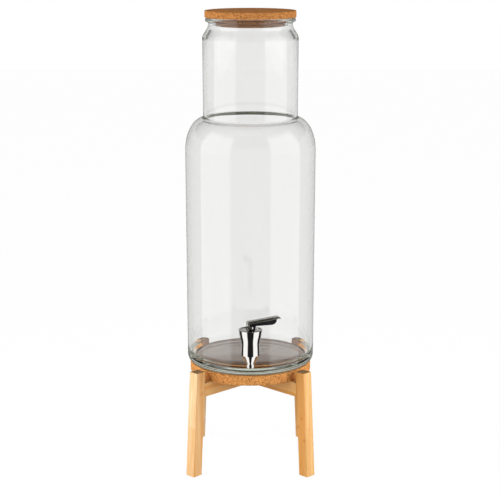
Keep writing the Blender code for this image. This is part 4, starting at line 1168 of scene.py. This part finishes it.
def make_camera():
    """Stands in front, a little above the lid, and looks down. Light gets through every wall of the jar."""
    data = bpy.data.cameras.new("camera")
    data.lens = LENS
    data.sensor_width = SENSOR
    camera = into_scene(data, "camera")
    camera.location = (VIEW_SIDE, JAR_Y - VIEW_DISTANCE, VIEW_HEIGHT)
    camera.rotation_euler = (math.radians(90) - VIEW_DOWN, 0, 0)
    scene = bpy.context.scene
    scene.camera = camera
    scene.view_settings.view_transform = "Standard"
    scene.cycles.max_bounces = GLASS_BOUNCES
    scene.cycles.transmission_bounces = GLASS_BOUNCES
    scene.cycles.glossy_bounces = GLASS_BOUNCES


LENS = 104.5
SENSOR = 36
VIEW_DISTANCE = 2.031
VIEW_SIDE = -0.0006
VIEW_HEIGHT = 0.761
VIEW_DOWN = 0.2183
GLASS_BOUNCES = 32
WORLD_FILL = 0.14
SOFTBOX_GLOW = 1.5
INSIDE_GLOW = 0.85
SWEEP_GLOW = 0.12
DARK_GLOW = 0.02
FRONT_GAP_END = (-0.845, -0.78)
SOFTBOX_END = (0.12, 0.16)
SWEEP_START = (0.85, 0.88)
RING_TOP = (0.62, 0.75)
LOW_WALL_TOP = (0.298, 0.325)
SOFTBOX_DISTANCE = 1.1
SOFTBOX_WIDTH = 1.3
SOFTBOX_HEIGHT = 2.2
SOFTBOX_FOOT = -0.5
FLOOR_REACH = 6
FLOOR_GLOW = 0.978
# The paler bamboo is painted light, for the legs on the brighter left side.
BAMBOO_PAINTED_LIT = (0.91, 0.69, 0.41)
BAMBOO_LIGHT = (0.84, 0.53, 0.22)
BAMBOO_DARK = (0.74, 0.33, 0.07)
END_GRAIN = (0.30, 0.16, 0.06)
FIBRE_LINE = (0.70, 0.52, 0.36)
NODE_BAND = (0.78, 0.52, 0.30)

TURNING = turning_tree()
CORK = cork_material("pressed_cork", (0.70, 0.31, 0.09), (0.50, 0.185, 0.042), (0.16, 0.055, 0.015))
# Painted light: a brighter copy of the pressed cork for the mat and the lid plug, which sit under the glass, to
# make up for the shade they get there.
CORK_PAINTED_LIGHTER = cork_material("pale_cork", (0.98, 0.47, 0.14), (0.74, 0.29, 0.07), (0.24, 0.085, 0.022))
GLASS = glass_material()
POLISHED = metal_material("polished_steel", (0.62, 0.61, 0.585), 0.03, 0.09, (1, 1, 1), 0.04)
PLAIN_STEEL = metal_material("turned_steel", (0.70, 0.69, 0.67), 0.16, 0.32, (1, 1, 0.05), 0.15)
BRUSHED = metal_material("brushed_strip", (0.31, 0.295, 0.255), 0.08, 0.16, (0.04, 1, 1), 0.2)
SILICONE = moulded_material("pale_silicone", (0.80, 0.82, 0.81), (0.88, 0.89, 0.88), (380.0, 4.0),
                            (0.34, 0.5), (380.0, 4.0), 0.1, subsurface_weight=0.35, ior=1.41)
CLEAR_SILICONE = moulded_material("clear_silicone", (0.97, 0.96, 0.95), (0.97, 0.96, 0.95), (500.0, 3.0),
                                  (0.04, 0.12), (500.0, 3.0), 0.08, ior=1.15, transmission_weight=1.0)
BLACK_PLASTIC = moulded_material("black_moulding", (0.003, 0.003, 0.0035), (0.008, 0.008, 0.0085),
                                 (120.0, 4.0, 0.6), (0.16, 0.30), (900.0, 2.0), 0.08,
                                 specular_ior_level=0.14)

make_camera()
make_world()
make_floor()
softbox("softbox_left", -66, 3.1)
softbox("softbox_right", 62, 2.8)
make_stand()
make_jar()
make_lid()
make_tap_body()
make_bonnet()
make_clamp()
make_spring()
make_plunger()
make_stem()
make_lever()
